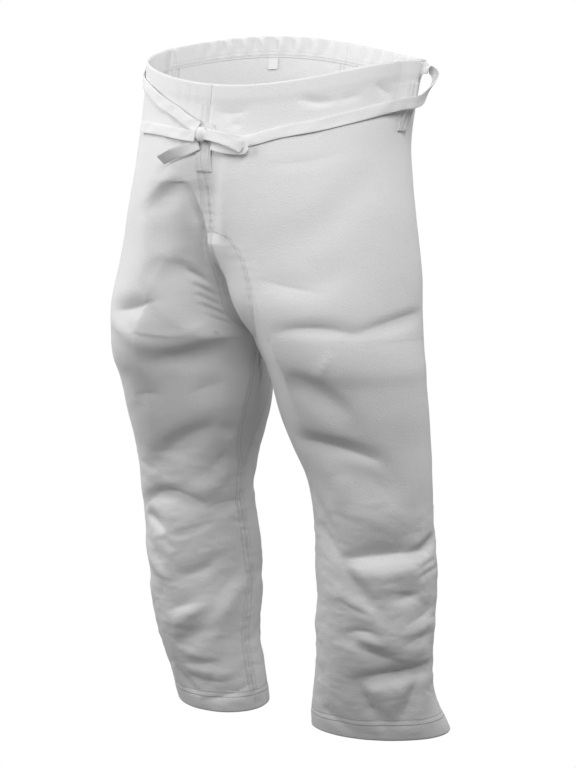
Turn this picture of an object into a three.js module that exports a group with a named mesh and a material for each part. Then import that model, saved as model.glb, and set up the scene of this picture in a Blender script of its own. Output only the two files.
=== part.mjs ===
import * as THREE from "three";
import { mergeVertices } from "three/addons/utils/BufferGeometryUtils.js";

// Karate trousers of heavy white cotton, hollow, in the shape they take on a standing wearer.
// Millimetres, +Z up. The wearer faces -Y and their left is +X.
// The origin is the middle of the waist opening.
// A place on the cloth is given by its side (+1 the wearer's left half, -1 the right half), its
// turn (0 the centre front or inseam, about a half the outseam, 1 the centre back or inseam)
// and its depth down from the waist.

// Cloth and seams
const clothWall = 1.8;
const doubledWall = 3.2;
const doubledProud = 0.8;
const seamGap = 0.3;

// Cut
const outseam = 880;
const casingHeight = 28;
const hemHeight = 28;
const sideTurn = 0.54;
const ventDepth = 93;
const ventStripWidth = 17;
const stripGap = 0.8;
const ventFlare = 9;
const ventFlareReach = 38;
const ventFlareFade = 45;
const ventGapBack = 9;
const ventStripStandOff = 3;
const ventStripShort = 2;
const gussetTop = 222;
const gussetShoulder = 229;
const gussetBottom = 542;
const gussetGap = 0.6;
const bandGap = 0.8;

// Stance
const waistRiseFade = 250;
const waistHalfWidth = 210;
const waistHalfDepth = 138;
const waistLevel = 1.5;
const toeOutAngle = THREE.MathUtils.degToRad(20);
const legStraightTo = 700;
const hemDip = 8;
const foldsCalmTo = 2;
const foldsFullFrom = 34;

// Centre-front loop, drawstring and label
const loopWidth = 22;
const loopFrom = 56;
const loopTo = 131;
const loopWall = 2;
const loopGap = 1;
const tapeWidth = 15;
const tapeThickness = 2.2;
const tapeEdge = 0.6;
const tapeStep = 7.5;
const knotHalfSize = [8.5, 4.8, 8];
const knotPlace = { x: -1, depth: 74.1, lift: 8 };
const knotTurn = THREE.MathUtils.degToRad(20);
const labelSize = [12, 14, 0.8];
const labelPlace = { side: -1, turn: 0.82, depth: 36 };
const labelHang = 0.5;

// Mesh steps
const rowStep = 24;
const frontColumns = 18;
const backColumns = 14;
const gussetRowsAcross = 4;
const stripColumns = 4;
const stripRows = 3;
const loopRows = 4;
const columnsPerGather = 4;
const crowdShare = 0.6;
const crowdMost = 5;
const probe = 0.5;
const precision = 0.01;

const cotton = new THREE.MeshStandardMaterial({ color: 0xf1f1ef, roughness: 0.9, metalness: 0 });
const tapeCotton = new THREE.MeshStandardMaterial({ color: 0xf6f6f4, roughness: 0.85, metalness: 0 });
const labelCloth = new THREE.MeshStandardMaterial({ color: 0xfafafa, roughness: 0.7, metalness: 0 });

// Turns rows of numbers into rows with named columns.
function table(columns, rows) {
  const names = columns.split(" ");
  return rows.map((row) => Object.fromEntries(names.map((name, i) => [name, row[i]])));
}

// One half of the trousers, cut level at each depth: an oval round its middle, cut off at the
// centre plane above the crotch. Pinch draws the inner side of the oval to a blunt point.
const rings = table("depth midX midY halfWidth halfDepth pinch", [
  [0, 0, 0, 210, 138, 0],
  [50, 4, -10, 203, 136, 0],
  [110, 14, -22, 191, 135, 0],
  [160, 28, -26, 182, 135, 0],
  [200, 42, -28, 174, 134, 0.05],
  [240, 62, -29, 159, 132, 0.14],
  [280, 85, -31, 140, 130, 0.3],
  [320, 102, -36, 126, 127, 0.37],
  [350, 113, -36, 117, 123, 0.46],
  [380, 120, -36, 115, 117, 0.56],
  [400, 124, -33, 113, 113, 0.58],
  [420, 125, -28, 111, 108, 0.54],
  [460, 133, -19, 103, 100, 0.3],
  [500, 143, -11, 91, 91, 0.08],
  [540, 152, -4, 82, 82, 0],
  [580, 155, 0, 78, 79, 0],
  [620, 155, 5, 78, 78, 0],
  [660, 154, 9, 80, 79, 0],
  [700, 152, 13, 78, 78, 0],
  [740, 150, 12, 81, 72, 0],
  [780, 148, 13, 80, 64, 0],
  [820, 142, 19, 83, 58, 0],
  [850, 140, 26, 89, 54, 0],
  [880, 141, 35, 94, 51, 0],
]);

// How the waist's edge rises round the oval, in waves that go once, twice and three times round.
// The drawstring pulls the centre front down and the back and the right hip stand higher.
const waistWaves = table("times leftward backward", [
  [1, -16, 28.5],
  [2, 5.5, -4.5],
  [3, 3.5, -2.5],
]);

// How far the front is drawn back along the centre seam, on both halves.
const cleft = table("depth back", [
  [75, 0],
  [110, 3],
  [130, 7],
  [150, 12],
  [165, 16],
  [200, 16],
  [225, 12],
  [240, 3],
  [260, 0],
]);
const cleftReach = 26;

// Beside the crotch the left thigh laps forward, and the right front falls back behind it: a
// hollow (back above 0) or a swell (below 0) that starts so far from the centre seam.
const laps = {
  left: table("depth start back", [
    [260, 0, 0],
    [300, 0, -7],
    [340, 0, -13],
    [370, 0, -8],
    [420, 0, 0],
  ]),
  right: table("depth start back", [
    [150, 20, 0],
    [180, 14, 8],
    [205, 9, 16],
    [236, 3, 24],
    [270, 0, 31],
    [310, 0, 36],
    [345, 0, 32],
    [380, 0, 18],
    [420, 0, 6],
    [460, 0, 0],
  ]),
};
const lapRise = 15;
const lapFullTo = 38;
const lapEnd = 110;

// Half width of the gusset on each leg, measured from the crotch line or the inseam.
const gussetHalfWidths = table("depth left right", [
  [222, 0, 0],
  [229, 36, 13],
  [240, 50, 16],
  [262, 68, 21],
  [286, 82, 26],
  [313, 95, 34],
  [342, 100, 45],
  [400, 62, 40],
  [542, 3, 3],
]);

// The large folds: straight or bowed troughs (height below 0) and ridges (above 0) of the cloth.
// Bow is how far the middle of the fold lies below the straight line between its ends.
const folds = table("side fromTurn fromDepth toTurn toDepth bow width height", [
  // right front, from the gusset seam outward and down the leg
  [-1, 0.04, 135, 0.17, 195, 12, 16, -7],
  [-1, 0.14, 185, 0.12, 250, 0, 20, -5],
  [-1, 0.1, 262, 0.2, 305, 12, 17, -6],
  [-1, 0.3, 332, 0.14, 310, 6, 12, -5],
  [-1, 0.32, 345, 0.06, 330, 38, 15, 8],
  [-1, 0.22, 395, 0.1, 375, 0, 15, -6],
  [-1, 0.25, 545, 0.08, 482, -4, 22, -8],
  [-1, 0.25, 562, 0.05, 552, 26, 14, 6],
  [-1, 0.37, 607, 0.1, 600, -16, 11, -6],
  [-1, 0.24, 642, 0, 590, 6, 9, -5],
  [-1, 0.24, 700, 0.06, 660, 6, 10, -5],
  [-1, 0.35, 665, 0.26, 702, 0, 11, 6],
  [-1, -0.02, 670, 0.11, 766, 0, 13, 6],
  [-1, 0.26, 756, 0.12, 730, 0, 10, 5],
  [-1, 0.25, 792, 0.11, 762, 0, 9, -5],
  [-1, 0.25, 802, 0.06, 812, 8, 8, -4],
  [-1, 0.26, 828, 0.03, 830, 20, 9, -5],
  [-1, 0.42, 240, 0.3, 420, 0, 45, 7],
  // left front, from the hip down the leg
  [1, 0.06, 108, 0.06, 222, 0, 9, 4],
  [1, 0.43, 135, 0.2, 252, 8, 26, -5],
  [1, 0.26, 272, 0.36, 268, 8, 24, -4],
  [1, 0.25, 345, 0.4, 350, 0, 9, -5],
  [1, 0.4, 350, 0.58, 332, 0, 9, -5],
  [1, 0.25, 408, 0.36, 484, -22, 18, -6],
  [1, 0.2, 488, 0.41, 512, -6, 13, -6],
  [1, 0.4, 512, 0.43, 568, 0, 15, -5],
  [1, 0.24, 535, 0.32, 535, 10, 26, 8],
  [1, 0.17, 560, 0.27, 636, 0, 10, -5],
  [1, 0.27, 640, 0.52, 634, -3, 9, -7],
  [1, 0.5, 634, 0.58, 618, 0, 9, -6],
  [1, 0.3, 658, 0.52, 654, 0, 12, 5],
  [1, 0.27, 650, 0.36, 712, 0, 11, -6],
  [1, 0.22, 687, 0.34, 712, 0, 11, 5],
  [1, 0.38, 692, 0.48, 690, 0, 8, -4],
  [1, 0.25, 742, 0.36, 768, 0, 9, -5],
  [1, 0.26, 802, 0.53, 782, 6, 10, -7],
  [1, 0.26, 806, 0.31, 862, 0, 9, -4],
  [1, 0.46, 794, 0.36, 856, 0, 9, -4],
  // left leg, back and inside
  [1, 0.66, 330, 0.86, 388, 6, 14, -6],
  [1, 0.74, 232, 0.93, 300, 10, 22, -7],
  [1, 0.62, 540, 0.82, 566, 8, 14, -6],
  [1, 0.66, 590, 0.92, 560, 4, 13, -6],
  [1, 0.6, 640, 0.84, 668, 6, 12, -6],
  [1, 0.7, 716, 0.95, 690, 6, 11, -5],
  [1, 0.6, 760, 0.86, 778, 6, 11, -6],
  [1, 0.66, 826, 0.92, 812, 6, 10, -5],
  // right leg, outside, back and inside
  [-1, 0.46, 330, 0.66, 352, 0, 13, -5],
  [-1, 0.66, 330, 0.88, 384, 6, 14, -6],
  [-1, 0.76, 236, 0.93, 304, 10, 22, -7],
  [-1, 0.5, 520, 0.7, 556, 6, 14, -6],
  [-1, 0.68, 600, 0.93, 568, 4, 13, -6],
  [-1, 0.48, 640, 0.76, 664, 6, 12, -6],
  [-1, 0.7, 722, 0.94, 694, 6, 11, -5],
  [-1, 0.46, 744, 0.66, 768, 6, 11, -5],
  [-1, 0.6, 790, 0.88, 800, 6, 11, -5],
  [-1, 0.5, 838, 0.78, 826, 4, 10, -4],
]);

// Gathers of the back casing: so many waves from the side to the centre back.
const gathers = { count: 9, height: 1.6, fromTurn: 0.62, toTurn: 0.98, fadeFrom: 0.4 * casingHeight };

// A fold keeps this share of its height at its ends, and swells to the full height between them.
const foldEndShare = 0.35;
const foldSwell = 0.7;

// Smooth step from 0 at a to 1 at b.
function ease(a, b, x) {
  return THREE.MathUtils.smoothstep(x, a, b);
}

// Curve through the values of one column of a table, level where the table ends.
function through(rows, column, x) {
  const last = rows.length - 1;
  const at = THREE.MathUtils.clamp(x, rows[0].depth, rows[last].depth);
  let i = 0;
  while (i < last - 1 && rows[i + 1].depth <= at) i += 1;
  const slope = (k) => {
    const a = Math.max(0, k - 1);
    const b = Math.min(last, k + 1);
    const rise = (m) => (rows[m + 1][column] - rows[m][column]) / (rows[m + 1].depth - rows[m].depth);
    return (rise(a === k ? k : a) + rise(b === k ? k - 1 : k)) / 2;
  };
  const span = rows[i + 1].depth - rows[i].depth;
  const t = (at - rows[i].depth) / span;
  const from = rows[i][column];
  const to = rows[i + 1][column];
  return (
    (2 * t ** 3 - 3 * t ** 2 + 1) * from +
    (t ** 3 - 2 * t ** 2 + t) * slope(i) * span +
    (3 * t ** 2 - 2 * t ** 3) * to +
    (t ** 3 - t ** 2) * slope(i + 1) * span
  );
}

// Straight lines between the values of one column of a table.
function between(rows, column, x) {
  const at = THREE.MathUtils.clamp(x, rows[0].depth, rows[rows.length - 1].depth);
  const i = Math.max(1, rows.findIndex((row) => row.depth >= at));
  const t = (at - rows[i - 1].depth) / (rows[i].depth - rows[i - 1].depth);
  return THREE.MathUtils.lerp(rows[i - 1][column], rows[i][column], t);
}

function ringAt(depth) {
  const ring = {};
  for (const column of ["midX", "midY", "halfWidth", "halfDepth", "pinch"]) {
    ring[column] = through(rings, column, depth);
  }
  ring.closing = Math.acos(-Math.min(1, ring.midX / ring.halfWidth));
  ring.length = ring.closing * (ring.halfWidth + ring.halfDepth);
  return ring;
}

// How far the front lies behind the plain oval, at a distance from the centre seam.
function drawnBack(side, x, fromSeam, depth) {
  const lap = laps[side > 0 ? "left" : "right"];
  const start = between(lap, "start", depth);
  const full = ease(start, start + lapRise, Math.abs(fromSeam)) * (1 - ease(lapFullTo, lapEnd, fromSeam));
  const dip = between(cleft, "back", depth) * Math.exp(-((x / cleftReach) ** 2));
  return dip + between(lap, "back", depth) * full;
}

// How high the waist's edge stands over the level at a place round the oval
function waistRise(x, y) {
  const round = Math.atan2(y / waistHalfDepth, x / waistHalfWidth);
  return waistWaves.reduce((sum, { times, leftward, backward }) => {
    return sum + leftward * Math.cos(times * round) + backward * Math.sin(times * round);
  }, waistLevel);
}

// The smooth form, before folds.
function smoothForm(side, turn, depth) {
  const ring = ringAt(depth);
  const angle = ring.closing * (2 * turn - 1);
  const inner = Math.max(0, -Math.cos(angle));
  const pinch = angle < 0 ? ring.pinch : ring.pinch / 2;
  const across = ring.halfWidth * Math.cos(angle);
  const along = ring.halfDepth * Math.sin(angle) * (1 - pinch * inner);
  const low = THREE.MathUtils.clamp((depth - legStraightTo) / (outseam - legStraightTo), 0, 1);
  const toe = toeOutAngle * low;
  const x = ring.midX + across * Math.cos(toe) - along * Math.sin(toe);
  const y = ring.midY + across * Math.sin(toe) + along * Math.cos(toe);
  const rise = waistRise(side * x, y) * (1 - ease(0, waistRiseFade, depth));
  const dip = hemDip * low * Math.sin(angle);
  const back = angle < 0 ? drawnBack(side, x, turn * ring.length, depth) : 0;
  return new THREE.Vector3(side * x, y + back, -depth + rise + dip);
}

// Height of one fold at a place, in a flat map of the cloth round the middle of the fold.
function foldHeight(fold, turn, depth, length) {
  const x = (turn - fold.fromTurn) * length;
  const y = depth - fold.fromDepth;
  const runX = (fold.toTurn - fold.fromTurn) * length;
  const runY = fold.toDepth - fold.fromDepth;
  const run = Math.hypot(runX, runY);
  const t = THREE.MathUtils.clamp((x * runX + y * runY) / run ** 2, 0, 1);
  const bow = fold.bow * 4 * t * (1 - t);
  const distance = Math.hypot(x - runX * t, y - runY * t - bow) / fold.width;
  const taper = THREE.MathUtils.lerp(foldEndShare, 1, Math.sin(Math.PI * t) ** foldSwell);
  return fold.height * taper * Math.exp(-distance * distance);
}

function ventLift(turn, depth, length) {
  const behindEdge = (sideTurn - turn) * length;
  if (behindEdge < 0 || depth > ventDepth) return 0;
  const near = 1 - ease(0, ventFlareReach, behindEdge);
  return ventFlare * near * ease(0, ventFlareFade, ventDepth - depth);
}

function gatherHeight(turn, depth) {
  if (depth > casingHeight || turn < gathers.fromTurn || turn > gathers.toTurn) return 0;
  const along = (turn - gathers.fromTurn) / (gathers.toTurn - gathers.fromTurn);
  const ends = Math.sin(Math.PI * along) ** 0.5;
  const wave = Math.cos(2 * Math.PI * gathers.count * along);
  return gathers.height * ends * wave * (1 - ease(gathers.fadeFrom, casingHeight, depth));
}

function outwardOf(at, side, turn, depth) {
  const ring = ringAt(depth);
  const step = probe / ring.length;
  const alongTurn = at(side, turn + step, depth).sub(at(side, turn - step, depth));
  const alongDepth = at(side, turn, depth + probe).sub(at(side, turn, depth - probe));
  return alongDepth.cross(alongTurn).multiplyScalar(side).normalize();
}

// The outer face of the cloth, with its folds. Near the centre plane the folds die out.
function foldedForm(side, turn, depth) {
  const point = smoothForm(side, turn, depth);
  const ring = ringAt(depth);
  let height = ventLift(turn, depth, ring.length) + gatherHeight(turn, depth);
  for (const fold of folds) {
    if (fold.side !== side) continue;
    height += foldHeight(fold, turn, depth, ring.length);
    if (depth > gussetTop) height += foldHeight(fold, turn - 1, depth, ring.length);
  }
  const calm = ease(foldsCalmTo, foldsFullFrom, side * point.x);
  const outward = outwardOf(smoothForm, side, turn, depth);
  return point.addScaledVector(outward, height * calm);
}

// A point lifted off the cloth's outer face. A negative lift goes into the cloth.
function onCloth(side, turn, depth, lift = 0) {
  const point = foldedForm(side, turn, depth);
  return lift === 0 ? point : point.addScaledVector(outwardOf(foldedForm, side, turn, depth), lift);
}

function closedMesh(name, positions, triangles, material) {
  const geometry = new THREE.BufferGeometry();
  const coordinates = positions.flatMap((p) => [p.x, p.y, p.z]);
  geometry.setAttribute("position", new THREE.Float32BufferAttribute(coordinates, 3));
  const volume = triangles.reduce((sum, [a, b, c]) => {
    return sum + positions[a].dot(positions[b].clone().cross(positions[c]));
  }, 0);
  geometry.setIndex(triangles.flatMap(([a, b, c]) => (volume > 0 ? [a, b, c] : [a, c, b])));
  geometry.computeVertexNormals();
  const mesh = new THREE.Mesh(geometry, material);
  mesh.name = name;
  return mesh;
}

// A wall between two grids of points, an outer and an inner one, closed along its four edges.
function wall(name, outer, inner, material = cotton) {
  const rows = outer.length;
  const columns = outer[0].length;
  const positions = [...outer.flat(), ...inner.flat()];
  const front = (i, j) => i * columns + j;
  const back = (i, j) => rows * columns + i * columns + j;
  const triangles = [];
  const bottom = rows - 1;
  const end = columns - 1;
  const quad = (a, b, c, d) => {
    if (positions[a].distanceTo(positions[c]) < positions[b].distanceTo(positions[d])) {
      triangles.push([a, b, c], [a, c, d]);
    } else {
      triangles.push([b, c, d], [b, d, a]);
    }
  };
  for (let i = 0; i + 1 < rows; i += 1) {
    for (let j = 0; j + 1 < columns; j += 1) {
      quad(front(i, j), front(i, j + 1), front(i + 1, j + 1), front(i + 1, j));
      quad(back(i, j), back(i + 1, j), back(i + 1, j + 1), back(i, j + 1));
    }
  }
  for (let j = 0; j + 1 < columns; j += 1) {
    quad(front(0, j + 1), front(0, j), back(0, j), back(0, j + 1));
    quad(front(bottom, j), front(bottom, j + 1), back(bottom, j + 1), back(bottom, j));
  }
  for (let i = 0; i + 1 < rows; i += 1) {
    quad(front(i, 0), front(i + 1, 0), back(i + 1, 0), back(i, 0));
    quad(front(i + 1, end), front(i, end), back(i, end), back(i + 1, end));
  }
  return closedMesh(name, positions, triangles, material);
}

function steps(count) {
  return Array.from({ length: count + 1 }, (_, i) => i / count);
}

// Depths from one level to another in nearly equal steps.
function depthsBetween(from, to) {
  return steps(Math.round((to - from) / rowStep)).map((t) => THREE.MathUtils.lerp(from, to, t));
}

function gussetHalf(side, depth) {
  return between(gussetHalfWidths, side > 0 ? "left" : "right", depth);
}

// Where a panel's inner edge lies: at the centre seam, the gusset's edge or the inseam.
function innerTurn(side, depth) {
  const length = ringAt(depth).length;
  const onGusset = depth >= gussetTop && depth <= gussetBottom;
  return (onGusset ? gussetHalf(side, depth) + gussetGap / 2 : seamGap / 2) / length;
}

function frontRange(side, depth) {
  return [innerTurn(side, depth), sideTurn - seamGap / 2 / ringAt(depth).length];
}

function backRange(side, depth) {
  const slit = ventGapBack * ease(0, ventDepth, ventDepth - depth) + seamGap / 2;
  return [sideTurn + slit / ringAt(depth).length, 1 - innerTurn(side, depth)];
}

// Turn of a column. The columns lie evenly and give way only close to the gusset's edge.
function columnTurn([from, to], seam, share) {
  const onFront = from < 1 - to;
  const given = onFront ? from - seam : 1 - seam - to;
  const even = onFront ? THREE.MathUtils.lerp(seam, to, share) : THREE.MathUtils.lerp(from, 1 - seam, share);
  const power = Math.min(crowdMost, (crowdShare * (to - from)) / Math.max(given, seam));
  return onFront ? even + given * (1 - share) ** power : even - given * share ** power;
}

// A piece of cloth over a range of turns at each depth, its outer face proud of the cloth.
function piece(name, side, depths, range, columns, thickness = clothWall, proud = 0) {
  const grid = (lift) =>
    depths.map((depth) => {
      const turns = range(side, depth);
      const seam = seamGap / 2 / ringAt(depth).length;
      return steps(columns).map((t) => {
        const point = onCloth(side, columnTurn(turns, seam, t), depth, lift);
        point.x = side * Math.max(seamGap / 2, side * point.x);
        return point;
      });
    });
  return wall(name, grid(proud), grid(proud - thickness));
}

const halves = [
  { side: 1, word: "left" },
  { side: -1, word: "right" },
];

// Legs and hips
const gussetDepths = [gussetTop, ...depthsBetween(gussetShoulder, gussetBottom)];
const panelDepths = [
  ...depthsBetween(casingHeight + bandGap, gussetTop).slice(0, -1),
  ...gussetDepths,
  ...depthsBetween(gussetBottom + seamGap, outseam - hemHeight - bandGap).slice(1),
];

function panels() {
  return halves.flatMap(({ side, word }) => [
    piece(`front_panel_${word}`, side, panelDepths, frontRange, frontColumns),
    piece(`back_panel_${word}`, side, panelDepths, backRange, backColumns),
  ]);
}

// The waist casing, a tunnel of doubled cloth for the drawstring, open at both side vents
function casings() {
  const depths = [0, casingHeight / 2, casingHeight];
  const waves = gathers.count * columnsPerGather;
  return halves.flatMap(({ side, word }) => [
    piece(`casing_front_${word}`, side, depths, frontRange, frontColumns, doubledWall, doubledProud),
    piece(`casing_back_${word}`, side, depths, backRange, waves, doubledWall, doubledProud),
  ]);
}

// The hems, turned up and doubled
function hems() {
  const depths = [outseam - hemHeight, outseam - hemHeight / 2, outseam];
  return halves.flatMap(({ side, word }) => [
    piece(`hem_front_${word}`, side, depths, frontRange, frontColumns, doubledWall, doubledProud),
    piece(`hem_back_${word}`, side, depths, backRange, backColumns, doubledWall, doubledProud),
  ]);
}

// The front halves meet the back halves of the gusset under the crotch, where the oval closes.
function crotchDepth() {
  let high = gussetTop;
  let low = gussetBottom;
  while (low - high > precision) {
    const middle = (high + low) / 2;
    const ring = ringAt(middle);
    if (ring.midX < ring.halfWidth) high = middle;
    else low = middle;
  }
  return high;
}

// The gusset: rows run from the front tip under the crotch to the back tip, columns from its
// edge on the right leg over the crotch line to its edge on the left leg.
function gusset() {
  const edgeDepths = [...gussetDepths];
  const lowest = edgeDepths.length - 1;
  edgeDepths[0] += gussetGap;
  const crotch = crotchDepth();
  const rowAt = (half, i, lift) => {
    const crotchLine = THREE.MathUtils.lerp(edgeDepths[0], crotch, i / lowest);
    const row = [];
    for (let j = -gussetRowsAcross; j <= gussetRowsAcross; j += 1) {
      const side = j < 0 ? -1 : 1;
      const share = Math.abs(j) / gussetRowsAcross;
      const halfWidth = gussetHalf(side, edgeDepths[i]) - gussetGap / 2;
      const edge = halfWidth / ringAt(edgeDepths[i]).length;
      const turn = half === "front" ? edge * share : 1 - edge * share;
      const depth = THREE.MathUtils.lerp(crotchLine, edgeDepths[i], share);
      const point = onCloth(side, turn, depth);
      const outward = outwardOf(foldedForm, side, turn, depth);
      if (j === 0) {
        point.x = 0;
        outward.x = 0;
        outward.normalize();
      }
      row.push(point.addScaledVector(outward, lift));
    }
    return row;
  };
  const grid = (lift) => [
    ...steps(lowest).map((t) => rowAt("front", Math.round(t * lowest), lift)),
    ...steps(lowest).slice(1).map((t) => rowAt("back", Math.round((1 - t) * lowest), lift)),
  ];
  return wall("crotch_gusset", grid(0), grid(-clothWall));
}

// The stitched strips along the front edges of the side vents, which stand off the hip
function ventStrips() {
  const top = casingHeight + seamGap;
  const bottom = ventDepth - ventStripShort;
  const depths = steps(stripRows).map((t) => THREE.MathUtils.lerp(top, bottom, t));
  return halves.map(({ side, word }) => {
    const grid = (lift) =>
      depths.map((depth) =>
        steps(stripColumns).map((t) => {
          const length = ringAt(depth).length;
          const turn = sideTurn - (ventStripWidth * (1 - t)) / length;
          const standOff = ventStripStandOff * t * t * ease(0, ventDepth, depth);
          return onCloth(side, turn, depth, lift + stripGap + standOff);
        }),
      );
    return wall(`vent_strip_${word}`, grid(clothWall), grid(0));
  });
}

// A place given by its distance from the centre front instead of a side and a turn
function nearCentreFront(x, depth, lift) {
  const side = x < 0 ? -1 : 1;
  return onCloth(side, Math.abs(x) / ringAt(depth).length, depth, lift);
}

function centreLoop() {
  const depths = steps(loopRows).map((t) => THREE.MathUtils.lerp(loopFrom, loopTo, t));
  const across = steps(stripColumns).map((t) => (t - 0.5) * loopWidth);
  const grid = (lift) => depths.map((depth) => across.map((x) => nearCentreFront(x, depth, lift)));
  return wall("centre_front_loop", grid(loopGap + loopWall), grid(loopGap));
}

// The drawstring's routes over the cloth. Lift is the middle of the tape off the cloth, and
// lean turns the tape about its own length, in degrees.
const tapeRoutes = {
  drawstring_run_right: table("side turn depth lift lean", [
    [-1, 0.556, 13, 3, 0],
    [-1, 0.556, 14, 14, -30],
    [-1, 0.53, 14, 15, -15],
    [-1, 0.48, 16, 6, 0],
    [-1, 0.4, 20.5, 3.4, 0],
    [-1, 0.31, 25.5, 3.4, 0],
    [-1, 0.2, 30.5, 3.4, 0],
    [-1, 0.146, 37.3, 3.4, 0],
    [-1, 0.09, 45.3, 3.4, 0],
    [-1, 0.055, 54.2, 4.6, 0],
    [-1, 0.0155, 63.7, 6, 0],
  ]),
  drawstring_run_left: table("side turn depth lift lean", [
    [1, 0.562, 12, 3, 0],
    [1, 0.575, 11, 14, -35],
    [1, 0.57, 20, 26, -50],
    [1, 0.552, 37.5, 24, -30],
    [1, 0.525, 51.2, 16, 0],
    [1, 0.49, 55.8, 9, 0],
    [1, 0.44, 58.1, 4.6, 0],
    [1, 0.36, 62.2, 2.1, 0],
    [1, 0.26, 67.3, 2.1, 0],
    [1, 0.18, 71, 2.1, 0],
    [1, 0.1, 81.7, 2.6, 0],
    [1, 0.05, 76.3, 4.4, 0],
    [1, 0.0125, 73.4, 6.2, 0],
  ]),
  drawstring_end_across: table("side turn depth lift lean", [
    [-1, 0.0162, 76.9, 9.4, 0],
    [-1, 0.06, 76.2, 6.5, 0],
    [-1, 0.12, 74.7, 3.8, 0],
    [-1, 0.19, 76.6, 3.6, 0],
    [-1, 0.25, 80.1, 5, 0],
  ]),
  drawstring_end_down: table("side turn depth lift lean", [
    [-1, 0.011, 88.1, 4.6, 0],
    [-1, 0.045, 99, 5.4, 15],
    [-1, 0.075, 108.5, 9, 45],
    [-1, 0.105, 119.6, 11, 55],
  ]),
  drawstring_bow: table("side turn depth lift lean", [
    [1, 0.0135, 73.4, 10.4, 0],
    [1, 0.06, 80.3, 14, 0],
    [1, 0.09, 88.2, 13, 0],
    [1, 0.106, 93.4, 12, 0],
    [1, 0.111, 95.4, 9.6, 0],
    [1, 0.1, 95.5, 7.6, 0],
    [1, 0.06, 93.1, 7.4, 0],
    [1, 0.03, 87.6, 8, 0],
  ]),
};

// A flat tape with softened edges, swept along its route
function tape(name, route) {
  const path = new THREE.CatmullRomCurve3(route.map((p) => onCloth(p.side, p.turn, p.depth, p.lift)));
  const outwards = route.map((p) => outwardOf(smoothForm, p.side, p.turn, p.depth));
  const count = Math.max(12, Math.round(path.getLength() / tapeStep));
  const halfWidth = tapeWidth / 2;
  const halfThickness = tapeThickness / 2;
  const section = [
    [halfWidth, -halfThickness + tapeEdge],
    [halfWidth, halfThickness - tapeEdge],
    [halfWidth - tapeEdge, halfThickness],
    [-halfWidth + tapeEdge, halfThickness],
    [-halfWidth, halfThickness - tapeEdge],
    [-halfWidth, -halfThickness + tapeEdge],
    [-halfWidth + tapeEdge, -halfThickness],
    [halfWidth - tapeEdge, -halfThickness],
  ];
  const positions = [];
  for (const t of steps(count)) {
    const at = path.getPoint(t);
    const ahead = path.getTangent(t);
    const place = t * (route.length - 1);
    const k = Math.min(route.length - 2, Math.floor(place));
    const lean = THREE.MathUtils.lerp(route[k].lean, route[k + 1].lean, place - k);
    const up = outwards[k].clone().lerp(outwards[k + 1], place - k);
    up.addScaledVector(ahead, -up.dot(ahead)).normalize();
    up.applyAxisAngle(ahead, THREE.MathUtils.degToRad(lean * route[k].side));
    const across = ahead.clone().cross(up);
    for (const [w, h] of section) {
      positions.push(at.clone().addScaledVector(across, w).addScaledVector(up, h));
    }
  }
  const sides = section.length;
  const triangles = [];
  for (let i = 0; i < count; i += 1) {
    for (let j = 0; j < sides; j += 1) {
      const a = i * sides + j;
      const b = i * sides + ((j + 1) % sides);
      triangles.push([a, b, b + sides], [a, b + sides, a + sides]);
    }
  }
  for (let j = 1; j + 1 < sides; j += 1) {
    const end = count * sides;
    triangles.push([0, j + 1, j], [end, end + j, end + j + 1]);
  }
  return closedMesh(name, positions, triangles, tapeCotton);
}

function knot() {
  const ball = new THREE.SphereGeometry(1, 14, 9);
  ball.deleteAttribute("normal");
  ball.deleteAttribute("uv");
  const mesh = new THREE.Mesh(mergeVertices(ball), tapeCotton);
  mesh.geometry.scale(...knotHalfSize);
  mesh.geometry.rotateY(knotTurn);
  mesh.geometry.computeVertexNormals();
  mesh.position.copy(nearCentreFront(knotPlace.x, knotPlace.depth, knotPlace.lift));
  mesh.name = "drawstring_knot";
  return mesh;
}

// The label sewn under the back casing, on the inside
function sizeLabel() {
  const [width, height, thickness] = labelSize;
  const { side, turn, depth } = labelPlace;
  const gap = clothWall + labelHang;
  const grid = (lift) =>
    steps(2).map((row) =>
      steps(2).map((column) => {
        const at = turn + ((column - 0.5) * width) / ringAt(depth).length;
        return onCloth(side, at, depth + (row - 0.5) * height, lift - gap);
      }),
    );
  return wall("size_label", grid(0), grid(-thickness), labelCloth);
}

const trousers = new THREE.Group();
trousers.add(...panels(), gusset(), ...casings(), ...ventStrips(), ...hems());
trousers.add(centreLoop(), sizeLabel(), knot());
trousers.add(...Object.entries(tapeRoutes).map(([name, route]) => tape(name, route)));

export default trousers;
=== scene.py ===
"""Karate trousers of heavy white cotton, hollow, in the shape they take on a standing wearer.

Metres, +Z up. The wearer faces -Y and their left is +X. The origin is the middle of the waist.
A place on the cloth is its side (+1 the wearer's left half, -1 the right), its turn (0 the centre
front or inseam, about a half the outseam, 1 the centre back or inseam) and its depth below the
waist.
"""

import math

import bmesh
import bpy
import numpy as np
from bpy.props import FloatProperty, FloatVectorProperty, IntProperty, PointerProperty
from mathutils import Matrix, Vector, noise


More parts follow.
